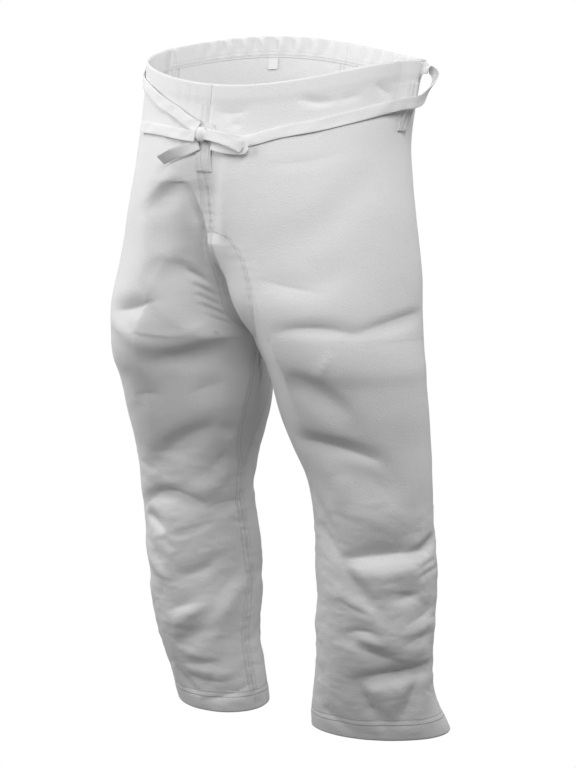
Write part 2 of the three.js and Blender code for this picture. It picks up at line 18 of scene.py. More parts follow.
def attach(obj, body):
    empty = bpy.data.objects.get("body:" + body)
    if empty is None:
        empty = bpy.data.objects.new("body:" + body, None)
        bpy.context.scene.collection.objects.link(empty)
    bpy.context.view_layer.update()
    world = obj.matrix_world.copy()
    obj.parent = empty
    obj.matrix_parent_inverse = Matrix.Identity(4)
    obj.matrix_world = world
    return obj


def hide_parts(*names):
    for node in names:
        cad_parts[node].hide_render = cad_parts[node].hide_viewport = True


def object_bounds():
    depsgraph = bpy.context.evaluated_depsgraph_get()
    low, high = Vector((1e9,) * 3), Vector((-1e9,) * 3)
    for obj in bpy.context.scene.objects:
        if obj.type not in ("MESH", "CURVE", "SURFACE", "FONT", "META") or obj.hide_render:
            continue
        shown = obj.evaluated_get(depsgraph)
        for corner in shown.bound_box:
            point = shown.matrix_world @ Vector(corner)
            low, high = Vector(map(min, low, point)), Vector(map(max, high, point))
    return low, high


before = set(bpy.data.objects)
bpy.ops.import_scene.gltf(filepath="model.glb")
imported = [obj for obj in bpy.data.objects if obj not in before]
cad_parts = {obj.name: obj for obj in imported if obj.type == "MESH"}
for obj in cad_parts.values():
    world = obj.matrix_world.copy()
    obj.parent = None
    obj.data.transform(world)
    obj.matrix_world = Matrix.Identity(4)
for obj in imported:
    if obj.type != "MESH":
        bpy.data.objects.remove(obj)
cad_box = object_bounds()

bl_info = {
    "name": "Karate Trousers",
    "version": (1, 0, 0),
    "blender": (4, 5, 0),
    "location": "View3D > Sidebar > Trousers",
    "description": "Heavy cotton martial arts trousers with a tied drawstring, as they are worn",
    "category": "Object",
}

BODY = "root"
HALVES = ((1, "left"), (-1, "right"))
MM = 0.001

# Cut
OUTSEAM = 0.880
CASING_HEIGHT = 0.028
HEM_HEIGHT = 0.028
SIDE_TURN = 0.54
VENT_DEPTH = 0.093
STRIP_WIDTH = 0.017
VENT_FLARE = 0.009
VENT_FLARE_REACH = 0.038
VENT_FLARE_FADE = 0.045
VENT_GAP_BACK = 0.009
VENT_GAP_RIGHT = 0.0
STRIP_GAP = 0.0008
STRIP_STAND_OFF = 0.003
GUSSET_TOP = 0.222
GUSSET_SHOULDER = 0.229
GUSSET_BOTTOM = 0.542
SEAM_GAP = 0.0003
CLEFT_REACH = 0.026
LAP_RISE = 0.015
LAP_FULL_TO = 0.038
LAP_END = 0.110
FOLD_DEPTH = 0.6
CREASE_DEPTH = 0.95
CREASE_END_SHARE = 0.08
CREASE_EDGE = 0.03
CREASE_REACH = 1.5
CREASE_ROUND = 0.3
CREASE_LINE = 0.22
CREASE_LINE_WIDTH = 0.12
FOLD_COLUMNS = 8
FELL = 0.0075
GUSSET_TIP = 0.020
GUSSET_TIP_SHARE = 0.15
CENTRE_FELL = 0.0110
UNSTITCHED = 9.0
FLOOR_ALPHA = 0.45
FLOOR_FADE = (0.22, 0.85)

# Stance
WAIST_RISE_FADE = 0.250
WAIST_HALF_WIDTH = 0.210
WAIST_HALF_DEPTH = 0.138
WAIST_LEVEL = 0.0015
TOE_OUT = math.radians(20)
LEG_STRAIGHT_TO = 0.700
HEM_DIP = 0.008

# Centre front
LOOP_WIDTH = 0.022
LOOP_FROM = 0.056
LOOP_TO = 0.131
LOOP_GAP = 0.0006
TAPE_WIDTH = 0.015
TAPE_THICKNESS = 0.0022
KNOT_HALF_SIZE = (0.0085, 0.0048, 0.008)
KNOT_SWELL = 1.2
KNOT_PLACE = (-0.001, 0.0741, 0.008)
LABEL_SIZE = (0.012, 0.014)
LABEL_PLACE = (-1, 0.82, 0.036)
LABEL_HANG = 0.0005

# One half of the trousers cut level at each depth: depth, middle x, middle y, half width, half
# depth, and how far the inner side is pinched to a blunt point
RINGS = np.array([
    (0.0, 0.0, 0.0, 0.21, 0.138, 0.0),
    (0.05, 0.004, -0.01, 0.203, 0.136, 0.0),
    (0.11, 0.014, -0.022, 0.191, 0.135, 0.0),
    (0.16, 0.028, -0.026, 0.182, 0.135, 0.0),
    (0.2, 0.042, -0.028, 0.174, 0.134, 0.05),
    (0.24, 0.062, -0.029, 0.159, 0.132, 0.14),
    (0.28, 0.085, -0.031, 0.14, 0.13, 0.3),
    (0.32, 0.102, -0.036, 0.126, 0.127, 0.37),
    (0.35, 0.113, -0.036, 0.117, 0.123, 0.46),
    (0.38, 0.12, -0.036, 0.115, 0.117, 0.56),
    (0.4, 0.124, -0.033, 0.113, 0.113, 0.58),
    (0.42, 0.125, -0.028, 0.111, 0.108, 0.54),
    (0.46, 0.133, -0.019, 0.103, 0.1, 0.3),
    (0.5, 0.143, -0.011, 0.091, 0.091, 0.08),
    (0.54, 0.152, -0.004, 0.082, 0.082, 0.0),
    (0.58, 0.155, 0.0, 0.078, 0.079, 0.0),
    (0.62, 0.155, 0.005, 0.078, 0.078, 0.0),
    (0.66, 0.154, 0.009, 0.08, 0.079, 0.0),
    (0.7, 0.152, 0.013, 0.078, 0.078, 0.0),
    (0.74, 0.15, 0.012, 0.081, 0.072, 0.0),
    (0.78, 0.148, 0.013, 0.08, 0.064, 0.0),
    (0.82, 0.142, 0.019, 0.083, 0.058, 0.0),
    (0.85, 0.14, 0.026, 0.089, 0.054, 0.0),
    (0.88, 0.141, 0.035, 0.094, 0.051, 0.0),
])

# How the waist's edge rises round the oval: times round, leftward, backward
WAIST_WAVES = (
    (1, -0.0160, 0.0285),
    (2, 0.0055, -0.0045),
    (3, 0.0035, -0.0025),
)

# How far the front is drawn back along the centre seam: depth, back
CLEFT = np.array([
    (0.075, 0.0),
    (0.11, 0.003),
    (0.13, 0.007),
    (0.15, 0.012),
    (0.165, 0.016),
    (0.2, 0.016),
    (0.225, 0.012),
    (0.24, 0.003),
    (0.26, 0.0),
])

# Beside the crotch the left thigh laps forward and the right front falls back behind it: depth,
# distance from the centre seam where it starts, back
LAPS = {
    1: np.array([
        (0.26, 0.0, 0.0),
        (0.3, 0.0, -0.007),
        (0.34, 0.0, -0.013),
        (0.37, 0.0, -0.008),
        (0.42, 0.0, 0.0),
    ]),
    -1: np.array([
        (0.15, 0.02, 0.0),
        (0.18, 0.014, 0.008),
        (0.205, 0.009, 0.016),
        (0.236, 0.003, 0.024),
        (0.27, 0.0, 0.031),
        (0.31, 0.0, 0.036),
        (0.345, 0.0, 0.032),
        (0.38, 0.0, 0.018),
        (0.42, 0.0, 0.006),
        (0.46, 0.0, 0.0),
    ]),
}

# Half width of the gusset on each leg: depth, left, right
GUSSET_WIDTHS = np.array([
    (0.222, 0.0, 0.0),
    (0.229, 0.036, 0.013),
    (0.24, 0.05, 0.016),
    (0.262, 0.068, 0.021),
    (0.286, 0.082, 0.026),
    (0.313, 0.095, 0.034),
    (0.342, 0.1, 0.045),
    (0.4, 0.062, 0.04),
    (0.542, 0.003, 0.003),
])

# The large folds: side, from turn, from depth, to turn, to depth, bow of the middle below the
# straight line, width, and height, which is below 0 in a trough
FOLDS = [
    (-1, 0.04, 0.135, 0.17, 0.195, 0.012, 0.016, -0.007),
    (-1, 0.14, 0.185, 0.12, 0.25, 0.0, 0.02, -0.005),
    (-1, 0.1, 0.262, 0.2, 0.305, 0.012, 0.017, -0.006),
    (-1, 0.3, 0.332, 0.14, 0.31, 0.006, 0.012, -0.005),
    (-1, 0.32, 0.345, 0.06, 0.33, 0.038, 0.015, 0.008),
    (-1, 0.22, 0.395, 0.1, 0.375, 0.0, 0.015, -0.006),
    (-1, 0.25, 0.545, 0.08, 0.482, -0.004, 0.022, -0.008),
    (-1, 0.25, 0.562, 0.05, 0.552, 0.026, 0.014, 0.006),
    (-1, 0.37, 0.607, 0.1, 0.6, -0.016, 0.011, -0.006),
    (-1, 0.24, 0.642, 0.0, 0.59, 0.006, 0.009, -0.005),
    (-1, 0.24, 0.7, 0.06, 0.66, 0.006, 0.01, -0.005),
    (-1, 0.35, 0.665, 0.26, 0.702, 0.0, 0.011, 0.006),
    (-1, -0.02, 0.67, 0.11, 0.766, 0.0, 0.013, 0.006),
    (-1, 0.26, 0.756, 0.12, 0.73, 0.0, 0.01, 0.005),
    (-1, 0.25, 0.792, 0.11, 0.762, 0.0, 0.009, -0.005),
    (-1, 0.25, 0.802, 0.06, 0.812, 0.008, 0.008, -0.004),
    (-1, 0.26, 0.828, 0.03, 0.83, 0.02, 0.009, -0.005),
    (-1, 0.42, 0.24, 0.3, 0.42, 0.0, 0.045, 0.007),
    (1, 0.06, 0.108, 0.06, 0.222, 0.0, 0.009, 0.004),
    (1, 0.43, 0.135, 0.2, 0.252, 0.008, 0.026, -0.005),
    (1, 0.26, 0.272, 0.36, 0.268, 0.008, 0.024, -0.004),
    (1, 0.25, 0.345, 0.4, 0.35, 0.0, 0.009, -0.005),
    (1, 0.4, 0.35, 0.58, 0.332, 0.0, 0.009, -0.005),
    (1, 0.25, 0.408, 0.36, 0.484, -0.022, 0.018, -0.006),
    (1, 0.2, 0.488, 0.41, 0.512, -0.006, 0.013, -0.006),
    (1, 0.4, 0.512, 0.43, 0.568, 0.0, 0.015, -0.005),
    (1, 0.24, 0.535, 0.32, 0.535, 0.01, 0.026, 0.008),
    (1, 0.17, 0.56, 0.27, 0.636, 0.0, 0.01, -0.005),
    (1, 0.27, 0.64, 0.52, 0.634, -0.003, 0.009, -0.007),
    (1, 0.5, 0.634, 0.58, 0.618, 0.0, 0.009, -0.006),
    (1, 0.3, 0.658, 0.52, 0.654, 0.0, 0.012, 0.005),
    (1, 0.27, 0.65, 0.36, 0.712, 0.0, 0.011, -0.006),
    (1, 0.22, 0.687, 0.34, 0.712, 0.0, 0.011, 0.005),
    (1, 0.38, 0.692, 0.48, 0.69, 0.0, 0.008, -0.004),
    (1, 0.25, 0.742, 0.36, 0.768, 0.0, 0.009, -0.005),
    (1, 0.26, 0.802, 0.53, 0.782, 0.006, 0.01, -0.007),
    (1, 0.26, 0.806, 0.31, 0.862, 0.0, 0.009, -0.004),
    (1, 0.46, 0.794, 0.36, 0.856, 0.0, 0.009, -0.004),
    (1, 0.66, 0.33, 0.86, 0.388, 0.006, 0.014, -0.006),
    (1, 0.74, 0.232, 0.93, 0.3, 0.01, 0.022, -0.007),
    (1, 0.62, 0.54, 0.82, 0.566, 0.008, 0.014, -0.006),
    (1, 0.66, 0.59, 0.92, 0.56, 0.004, 0.013, -0.006),
    (1, 0.6, 0.64, 0.84, 0.668, 0.006, 0.012, -0.006),
    (1, 0.7, 0.716, 0.95, 0.69, 0.006, 0.011, -0.005),
    (1, 0.6, 0.76, 0.86, 0.778, 0.006, 0.011, -0.006),
    (1, 0.66, 0.826, 0.92, 0.812, 0.006, 0.01, -0.005),
    (-1, 0.46, 0.33, 0.66, 0.352, 0.0, 0.013, -0.005),
    (-1, 0.66, 0.33, 0.88, 0.384, 0.006, 0.014, -0.006),
    (-1, 0.76, 0.236, 0.93, 0.304, 0.01, 0.022, -0.007),
    (-1, 0.5, 0.52, 0.7, 0.556, 0.006, 0.014, -0.006),
    (-1, 0.68, 0.6, 0.93, 0.568, 0.004, 0.013, -0.006),
    (-1, 0.48, 0.64, 0.76, 0.664, 0.006, 0.012, -0.006),
    (-1, 0.7, 0.722, 0.94, 0.694, 0.006, 0.011, -0.005),
    (-1, 0.46, 0.744, 0.66, 0.768, 0.006, 0.011, -0.005),
    (-1, 0.6, 0.79, 0.88, 0.8, 0.006, 0.011, -0.005),
    (-1, 0.5, 0.838, 0.78, 0.826, 0.004, 0.01, -0.004),
]

# The creases: side, from turn, from depth, to turn, to depth, bow of the middle below the straight
# line, width above the line, width below it, and height, which is below 0 in a crease
CREASES = [
    # left front, under the waist
    (1, 0.205, 0.025, 0.300, 0.037, 0.004, 0.006, 0.005, -0.0085),
    (1, 0.295, 0.037, 0.365, 0.036, 0.0, 0.006, 0.006, -0.0050),
    (1, 0.395, 0.025, 0.458, 0.046, 0.0, 0.006, 0.006, -0.0060),
    (1, 0.010, 0.036, 0.100, 0.034, 0.004, 0.009, 0.009, -0.0060),
    (1, 0.062, 0.050, 0.083, 0.060, 0.0, 0.006, 0.006, -0.0040),
    # left hip and thigh
    (1, 0.15, 0.120, 0.36, 0.108, 0.004, 0.008, 0.008, -0.0012),
    (1, 0.17, 0.283, 0.32, 0.300, 0.0, 0.014, 0.010, -0.0025),
    (1, 0.25, 0.346, 0.40, 0.351, -0.007, 0.010, 0.006, -0.0030),
    (1, 0.39, 0.350, 0.60, 0.326, -0.006, 0.007, 0.006, -0.0030),
    (1, 0.32, 0.407, 0.36, 0.372, 0.0, 0.005, 0.005, 0.0020),
    (1, 0.26, 0.402, 0.36, 0.457, -0.009, 0.012, 0.022, -0.0060),
    (1, 0.21, 0.488, 0.40, 0.514, -0.003, 0.012, 0.022, -0.0080),
    (1, 0.25, 0.536, 0.42, 0.569, -0.020, 0.014, 0.022, -0.0050),
    # left knee
    (1, 0.26, 0.643, 0.51, 0.633, -0.002, 0.028, 0.015, -0.0125),
    (1, 0.49, 0.634, 0.57, 0.618, -0.002, 0.009, 0.009, -0.0040),
    (1, 0.263, 0.646, 0.345, 0.710, 0.001, 0.008, 0.016, -0.0050),
    (1, 0.175, 0.595, 0.263, 0.643, 0.0, 0.007, 0.012, -0.0040),
    # left calf
    (1, 0.24, 0.694, 0.335, 0.716, 0.001, 0.006, 0.010, -0.0040),
    (1, 0.255, 0.739, 0.35, 0.739, -0.004, 0.012, 0.008, -0.0060),
    (1, 0.28, 0.756, 0.37, 0.773, 0.001, 0.009, 0.010, -0.0060),
    (1, 0.265, 0.797, 0.495, 0.785, -0.001, 0.018, 0.011, -0.0110),
    (1, 0.265, 0.800, 0.30, 0.865, 0.0, 0.008, 0.008, -0.0050),
    (1, 0.46, 0.795, 0.32, 0.865, 0.0, 0.008, 0.008, -0.0050),
    (1, 0.46, 0.660, 0.57, 0.648, -0.003, 0.005, 0.005, -0.0030),
    (1, 0.47, 0.669, 0.58, 0.660, -0.003, 0.005, 0.006, -0.0030),
    (1, 0.40, 0.693, 0.48, 0.687, 0.003, 0.010, 0.006, -0.0030),
    (1, 0.415, 0.728, 0.54, 0.708, 0.002, 0.008, 0.008, -0.0030),
    (1, 0.405, 0.755, 0.535, 0.744, -0.003, 0.008, 0.008, -0.0030),
    (1, 0.125, 0.841, 0.22, 0.871, -0.002, 0.010, 0.008, -0.0030),
    # right front: below the waist and the hollow of the hip
    (-1, 0.10, 0.036, 0.085, 0.110, 0.0, 0.006, 0.006, -0.0022),
    (-1, 0.135, 0.050, 0.12, 0.120, 0.0, 0.006, 0.006, 0.0020),
    (-1, 0.0, -0.02, 0.0, 0.07, 0.0, 0.003, 0.003, -0.0030),
    (1, 0.0, -0.02, 0.0, 0.07, 0.0, 0.003, 0.003, -0.0030),
    (-1, 0.060, 0.0, 0.054, 0.046, 0.0, 0.005, 0.005, -0.0030),
    (-1, 0.093, 0.002, 0.083, 0.044, 0.0, 0.006, 0.006, -0.0025),
    (-1, 0.038, 0.002, 0.028, 0.052, 0.0, 0.005, 0.005, -0.0025),
    (-1, 0.167, 0.195, 0.048, 0.148, -0.007, 0.009, 0.026, -0.0060),
    (-1, 0.044, 0.146, 0.032, 0.225, 0.0, 0.024, 0.008, -0.0070),
    (-1, 0.032, 0.215, 0.070, 0.280, -0.002, 0.016, 0.008, -0.0060),
    (-1, 0.168, 0.290, 0.12, 0.262, -0.006, 0.008, 0.016, -0.0040),
    (-1, 0.125, 0.263, 0.075, 0.292, -0.002, 0.008, 0.018, -0.0050),
    # right thigh
    (-1, 0.30, 0.332, 0.145, 0.314, 0.003, 0.014, 0.018, -0.0070),
    (-1, 0.25, 0.355, 0.095, 0.335, 0.014, 0.020, 0.016, 0.0080),
    (-1, 0.21, 0.393, 0.118, 0.366, 0.002, 0.009, 0.022, -0.0050),
    (-1, 0.29, 0.448, 0.22, 0.445, -0.004, 0.018, 0.016, -0.0030),
    (-1, 0.177, 0.445, 0.115, 0.426, -0.003, 0.012, 0.018, -0.0030),
    (-1, 0.100, 0.276, 0.070, 0.296, 0.0, 0.004, 0.004, -0.0050),
    (-1, 0.100, 0.293, 0.072, 0.311, 0.0, 0.004, 0.004, -0.0050),
    (-1, 0.102, 0.306, 0.074, 0.324, 0.0, 0.004, 0.004, -0.0050),
    (-1, 0.104, 0.319, 0.078, 0.337, 0.0, 0.004, 0.004, -0.0050),
    (-1, 0.108, 0.333, 0.085, 0.350, 0.0, 0.004, 0.004, -0.0040),
    (-1, 0.24, 0.536, 0.093, 0.485, -0.007, 0.012, 0.024, -0.0050),
    (-1, 0.093, 0.485, 0.05, 0.503, -0.003, 0.008, 0.008, -0.0030),
    (-1, 0.09, 0.549, 0.057, 0.521, 0.002, 0.007, 0.008, -0.0030),
    # right knee
    (-1, 0.325, 0.602, 0.115, 0.595, -0.019, 0.016, 0.020, -0.0080),
    (-1, 0.113, 0.604, 0.0, 0.594, -0.004, 0.010, 0.010, -0.0040),
    (-1, 0.333, 0.614, 0.24, 0.636, -0.002, 0.010, 0.006, -0.0085),
    (-1, 0.26, 0.642, 0.02, 0.612, -0.005, 0.018, 0.014, 0.0040),
    (-1, 0.30, 0.651, 0.26, 0.697, 0.0, 0.008, 0.008, -0.0030),
    (-1, 0.253, 0.641, 0.213, 0.660, 0.003, 0.005, 0.007, -0.0030),
    # right calf
    (-1, 0.22, 0.701, 0.10, 0.676, 0.004, 0.007, 0.009, -0.0035),
    (-1, 0.26, 0.747, 0.133, 0.728, -0.002, 0.012, 0.007, -0.0040),
    (-1, 0.255, 0.769, 0.128, 0.732, 0.003, 0.008, 0.014, 0.0040),
    (-1, 0.02, 0.693, 0.175, 0.794, 0.012, 0.012, 0.020, 0.0085),
    (-1, 0.25, 0.795, 0.09, 0.756, 0.008, 0.020, 0.009, -0.0050),
    (-1, 0.27, 0.817, 0.10, 0.809, 0.003, 0.006, 0.006, -0.0030),
    (-1, 0.26, 0.827, 0.065, 0.835, 0.007, 0.008, 0.006, -0.0040),
    (-1, 0.28, 0.824, 0.195, 0.863, 0.002, 0.006, 0.008, -0.0050),
    (-1, 0.19, 0.865, 0.0, 0.842, 0.002, 0.007, 0.007, -0.0050),
    # backs
    (1, 0.70, 0.350, 0.90, 0.402, 0.004, 0.010, 0.014, -0.0040),
    (1, 0.62, 0.606, 0.86, 0.622, 0.006, 0.014, 0.010, -0.0060),
    (1, 0.66, 0.690, 0.88, 0.652, 0.004, 0.008, 0.012, -0.0040),
    (1, 0.64, 0.770, 0.90, 0.744, 0.004, 0.010, 0.008, -0.0040),
    (-1, 0.70, 0.350, 0.90, 0.398, 0.004, 0.010, 0.014, -0.0040),
    (-1, 0.62, 0.612, 0.86, 0.632, 0.006, 0.014, 0.010, -0.0060),
    (-1, 0.62, 0.700, 0.88, 0.664, 0.004, 0.008, 0.012, -0.0040),
    (-1, 0.62, 0.780, 0.90, 0.748, 0.004, 0.010, 0.008, -0.0040),
]

CROWD_SHARE = 0.6
CROWD_MOST = 5.0

# Gathers of the back casing: waves, height, from turn, to turn
GATHERS = (9, 0.0026, 0.60, 0.99)
FOLD_END_SHARE = 0.35
FOLD_SWELL = 1.0
FOLDS_CALM_TO = 0.002
FOLDS_FULL_FROM = 0.034

# The tape's routes: side, turn, depth, lift of its middle off the cloth, lean in degrees
ROUTES = {
    "drawstring_run_right": [
        (-1, 0.556, 0.013, 0.003, 0),
        (-1, 0.556, 0.014, 0.014, -30),
        (-1, 0.53, 0.014, 0.015, -15),
        (-1, 0.48, 0.016, 0.006, 0),
        (-1, 0.4, 0.0205, 0.0034, 0),
        (-1, 0.31, 0.0255, 0.0034, 0),
        (-1, 0.2, 0.0305, 0.0034, 0),
        (-1, 0.146, 0.0373, 0.0034, 0),
        (-1, 0.09, 0.0453, 0.0034, 0),
        (-1, 0.055, 0.0542, 0.0046, 0),
        (-1, 0.0155, 0.0637, 0.006, 0),
    ],
    "drawstring_run_left": [
        (1, 0.562, 0.012, 0.003, 0),
        (1, 0.575, 0.011, 0.014, -35),
        (1, 0.57, 0.02, 0.026, -50),
        (1, 0.552, 0.0375, 0.024, -30),
        (1, 0.525, 0.0512, 0.016, 0),
        (1, 0.49, 0.0558, 0.009, 0),
        (1, 0.44, 0.0581, 0.0046, 0),
        (1, 0.36, 0.0622, 0.0021, 0),
        (1, 0.26, 0.0673, 0.0021, 0),
        (1, 0.18, 0.071, 0.0021, 0),
        (1, 0.1, 0.0817, 0.0026, 0),
        (1, 0.05, 0.0763, 0.0044, 0),
        (1, 0.0125, 0.0734, 0.0062, 0),
    ],
    "drawstring_end_across": [
        (-1, 0.0162, 0.0769, 0.0094, 0),
        (-1, 0.06, 0.0762, 0.0065, 0),
        (-1, 0.12, 0.0747, 0.0038, 0),
        (-1, 0.19, 0.0766, 0.0036, 0),
        (-1, 0.25, 0.0801, 0.005, 0),
    ],
    "drawstring_end_down": [
        (-1, 0.011, 0.0881, 0.0046, 0),
        (-1, 0.045, 0.099, 0.0054, 15),
        (-1, 0.075, 0.1085, 0.009, 45),
        (-1, 0.105, 0.1196, 0.011, 55),
    ],
    "drawstring_bow": [
        (1, 0.0135, 0.0734, 0.0104, 0),
        (1, 0.06, 0.0803, 0.014, 0),
        (1, 0.09, 0.0882, 0.013, 0),
        (1, 0.106, 0.0934, 0.012, 0),
        (1, 0.111, 0.0954, 0.0096, 0),
        (1, 0.1, 0.0955, 0.0076, 0),
        (1, 0.06, 0.0931, 0.0074, 0),
        (1, 0.03, 0.0876, 0.008, 0),
    ],
}


# Form of the cloth


def smoothstep(low, high, x):
    t = np.clip((x - low) / (high - low), 0.0, 1.0)
    return t * t * (3.0 - 2.0 * t)


def curve_through(table, column, x):
    """Curve through one column of a table over its first, level where the table ends."""
    knots, values = table[:, 0], table[:, column]
    at = np.clip(x, knots[0], knots[-1])
    i = np.clip(np.searchsorted(knots, at, side="right") - 1, 0, len(knots) - 2)
    rise = np.diff(values) / np.diff(knots)
    slope = (np.append(rise, rise[-1]) + np.append(rise[0], rise)) / 2
    span = knots[i + 1] - knots[i]
    t = (at - knots[i]) / span
    return (
        (2 * t**3 - 3 * t**2 + 1) * values[i]
        + (t**3 - 2 * t**2 + t) * slope[i] * span
        + (3 * t**2 - 2 * t**3) * values[i + 1]
        + (t**3 - t**2) * slope[i + 1] * span
    )


def ring_at(depth):
    mid_x, mid_y, half_width, half_depth, pinch = (curve_through(RINGS, k, depth) for k in range(1, 6))
    closing = np.arccos(-np.minimum(1.0, mid_x / half_width))
    return mid_x, mid_y, half_width, half_depth, pinch, closing


def girth(depth):
    """Length of the cloth round one half at a depth, which a whole turn covers."""
    _, _, half_width, half_depth, _, closing = ring_at(depth)
    return closing * (half_width + half_depth)


def drawn_back(side, x, from_seam, depth):
    """How far the front lies behind the plain oval."""
    back = np.interp(depth, CLEFT[:, 0], CLEFT[:, 1]) * np.exp(-((x / CLEFT_REACH) ** 2))
    for half, lap in LAPS.items():
        start = np.interp(depth, lap[:, 0], lap[:, 1])
        full = smoothstep(0, LAP_RISE, np.abs(from_seam) - start)
        full = full * (1 - smoothstep(LAP_FULL_TO, LAP_END, from_seam))
        back = back + np.where(side == half, full * np.interp(depth, lap[:, 0], lap[:, 2]), 0.0)
    return back


def waist_rise(x, y):
    """How high the waist's edge stands over the level at a place round the oval."""
    round_it = np.arctan2(y / WAIST_HALF_DEPTH, x / WAIST_HALF_WIDTH)
    rise = WAIST_LEVEL
    for times, leftward, backward in WAIST_WAVES:
        rise = rise + leftward * np.cos(times * round_it) + backward * np.sin(times * round_it)
    return rise


def smooth_form(side, turn, depth):
    """The form before its folds, as an array of points."""
    mid_x, mid_y, half_width, half_depth, pinch, closing = ring_at(depth)
    angle = closing * (2 * turn - 1)
    inner = np.maximum(0.0, -np.cos(angle))
    pinch = np.where(angle < 0, pinch, pinch / 2)
    across = half_width * np.cos(angle)
    along = half_depth * np.sin(angle) * (1 - pinch * inner)
    low = np.clip((depth - LEG_STRAIGHT_TO) / (OUTSEAM - LEG_STRAIGHT_TO), 0.0, 1.0)
    toe = TOE_OUT * low
    x = mid_x + across * np.cos(toe) - along * np.sin(toe)
    y = mid_y + across * np.sin(toe) + along * np.cos(toe)
    rise = waist_rise(side * x, y) * (1 - smoothstep(0, WAIST_RISE_FADE, depth))
    dip = HEM_DIP * low * np.sin(angle)
    from_seam = turn * closing * (half_width + half_depth)
    back = np.where(angle < 0, drawn_back(side, x, from_seam, depth), 0.0)
    return np.stack([side * x, y + back, -depth + rise + dip], axis=-1)


def fold_distance(fold, turn, depth, length, end_share):
    """Distance from a fold's line in its own widths, and how full the fold is there."""
    _, from_turn, from_depth, to_turn, to_depth, bow, above, below = fold[:8]
    if len(fold) == FOLD_COLUMNS:
        below = above
    x = (turn - from_turn) * length
    y = depth - from_depth
    run_x = (to_turn - from_turn) * length
    run_y = to_depth - from_depth
    t = np.clip((x * run_x + y * run_y) / (run_x**2 + run_y**2), 0.0, 1.0)
    off = y - run_y * t - bow * 4 * t * (1 - t)
    taper = end_share + (1 - end_share) * np.sin(np.pi * t) ** FOLD_SWELL
    width = above + (below - above) * smoothstep(-1, 1, off / min(above, below))
    return np.hypot(x - run_x * t, off) / width, taper


def vent_lift(turn, depth, length):
    """How far the front edge of the side vent stands off the hip."""
    behind_edge = (SIDE_TURN - turn) * length
    near = 1 - smoothstep(0, VENT_FLARE_REACH, behind_edge)
    lift = VENT_FLARE * near * smoothstep(0, VENT_FLARE_FADE, VENT_DEPTH - depth)
    return np.where((behind_edge < 0) | (depth > VENT_DEPTH), 0.0, lift)


def gather_height(turn, depth):
    count, height, from_turn, to_turn = GATHERS
    along = np.clip((turn - from_turn) / (to_turn - from_turn), 0.0, 1.0)
    wave = np.sqrt(np.sin(np.pi * along)) * np.cos(2 * np.pi * count * along)
    return height * wave * (1 - smoothstep(0.4 * CASING_HEIGHT, CASING_HEIGHT, depth))


def coarse_form(side, turn, depth):
    """The form with its large folds, which die out towards the centre plane."""
    side, turn, depth = np.broadcast_arrays(np.asarray(side, float), turn, depth)
    point = smooth_form(side, turn, depth)
    length = girth(depth)
    height = vent_lift(turn, depth, length) + gather_height(turn, depth)
    for fold in FOLDS:
        for shift in (0, 1):
            distance, taper = fold_distance(fold, turn - shift, depth, length, FOLD_END_SHARE)
            here = (side == fold[0]) & ((shift == 0) | (depth > GUSSET_TOP))
            bulge = FOLD_DEPTH * fold[-1] * taper * np.exp(-(distance**2))
            height = height + np.where(here, bulge, 0.0)
    calm = smoothstep(FOLDS_CALM_TO, FOLDS_FULL_FROM, side * point[..., 0])
    return point + outward(smooth_form, side, turn, depth) * (height * calm)[..., None]


def outward(form, side, turn, depth):
    """Unit vectors that point out of a form."""
    probe = 0.5 * MM
    step = probe / girth(depth)
    along_turn = form(side, turn + step, depth) - form(side, turn - step, depth)
    along_depth = form(side, turn, depth + probe) - form(side, turn, depth - probe)
    normal = np.cross(along_depth, along_turn) * np.asarray(side)[..., None]
    return normal / np.linalg.norm(normal, axis=-1, keepdims=True)


def on_cloth(side, turn, depth, lift=0.0):
    """Points lifted off the cloth's outer face. A negative lift goes into the cloth."""
    side, turn, depth = np.broadcast_arrays(np.asarray(side, float), turn, depth)
    lift = np.broadcast_to(lift, turn.shape)
    return coarse_form(side, turn, depth) + outward(coarse_form, side, turn, depth) * lift[..., None]


# Fine relief of the cloth


def crumple(points, size, warp):
    """Facets between sharp creases, as in stiff canvas that has been folded: about -1 to 1."""
    heights = np.empty(len(points))
    shift = Vector((7.3, 2.9, 5.1))
    for i, (x, y, z) in enumerate(points):
        at = Vector((x / size[0], y / size[0], z / size[1]))
        at += noise.noise_vector(at * 0.8) * warp
        hills, _ = noise.voronoi(at)
        dales, _ = noise.voronoi(at * 0.83 + shift)
        heights[i] = (hills[1] - hills[0]) - (dales[1] - dales[0])
    return heights


def wander(points, size):
    """Soft noise over the cloth, about -1 to 1."""
    return np.array([noise.noise(Vector(p) / size) for p in points])


def crumple_share(side, turn, depth):
    """How crumpled the cloth is: the knees and calves most, the hips hardly."""
    front = 1 - smoothstep(0.55, 0.75, np.abs(turn - 0.15))
    right = smoothstep(0.42, 0.60, depth)
    left = smoothstep(0.52, 0.64, depth)
    legs = np.where(side < 0, right, left) * (1 - 0.6 * smoothstep(0.83, 0.87, depth))
    return 0.10 + 0.90 * legs * (0.65 + 0.35 * front)


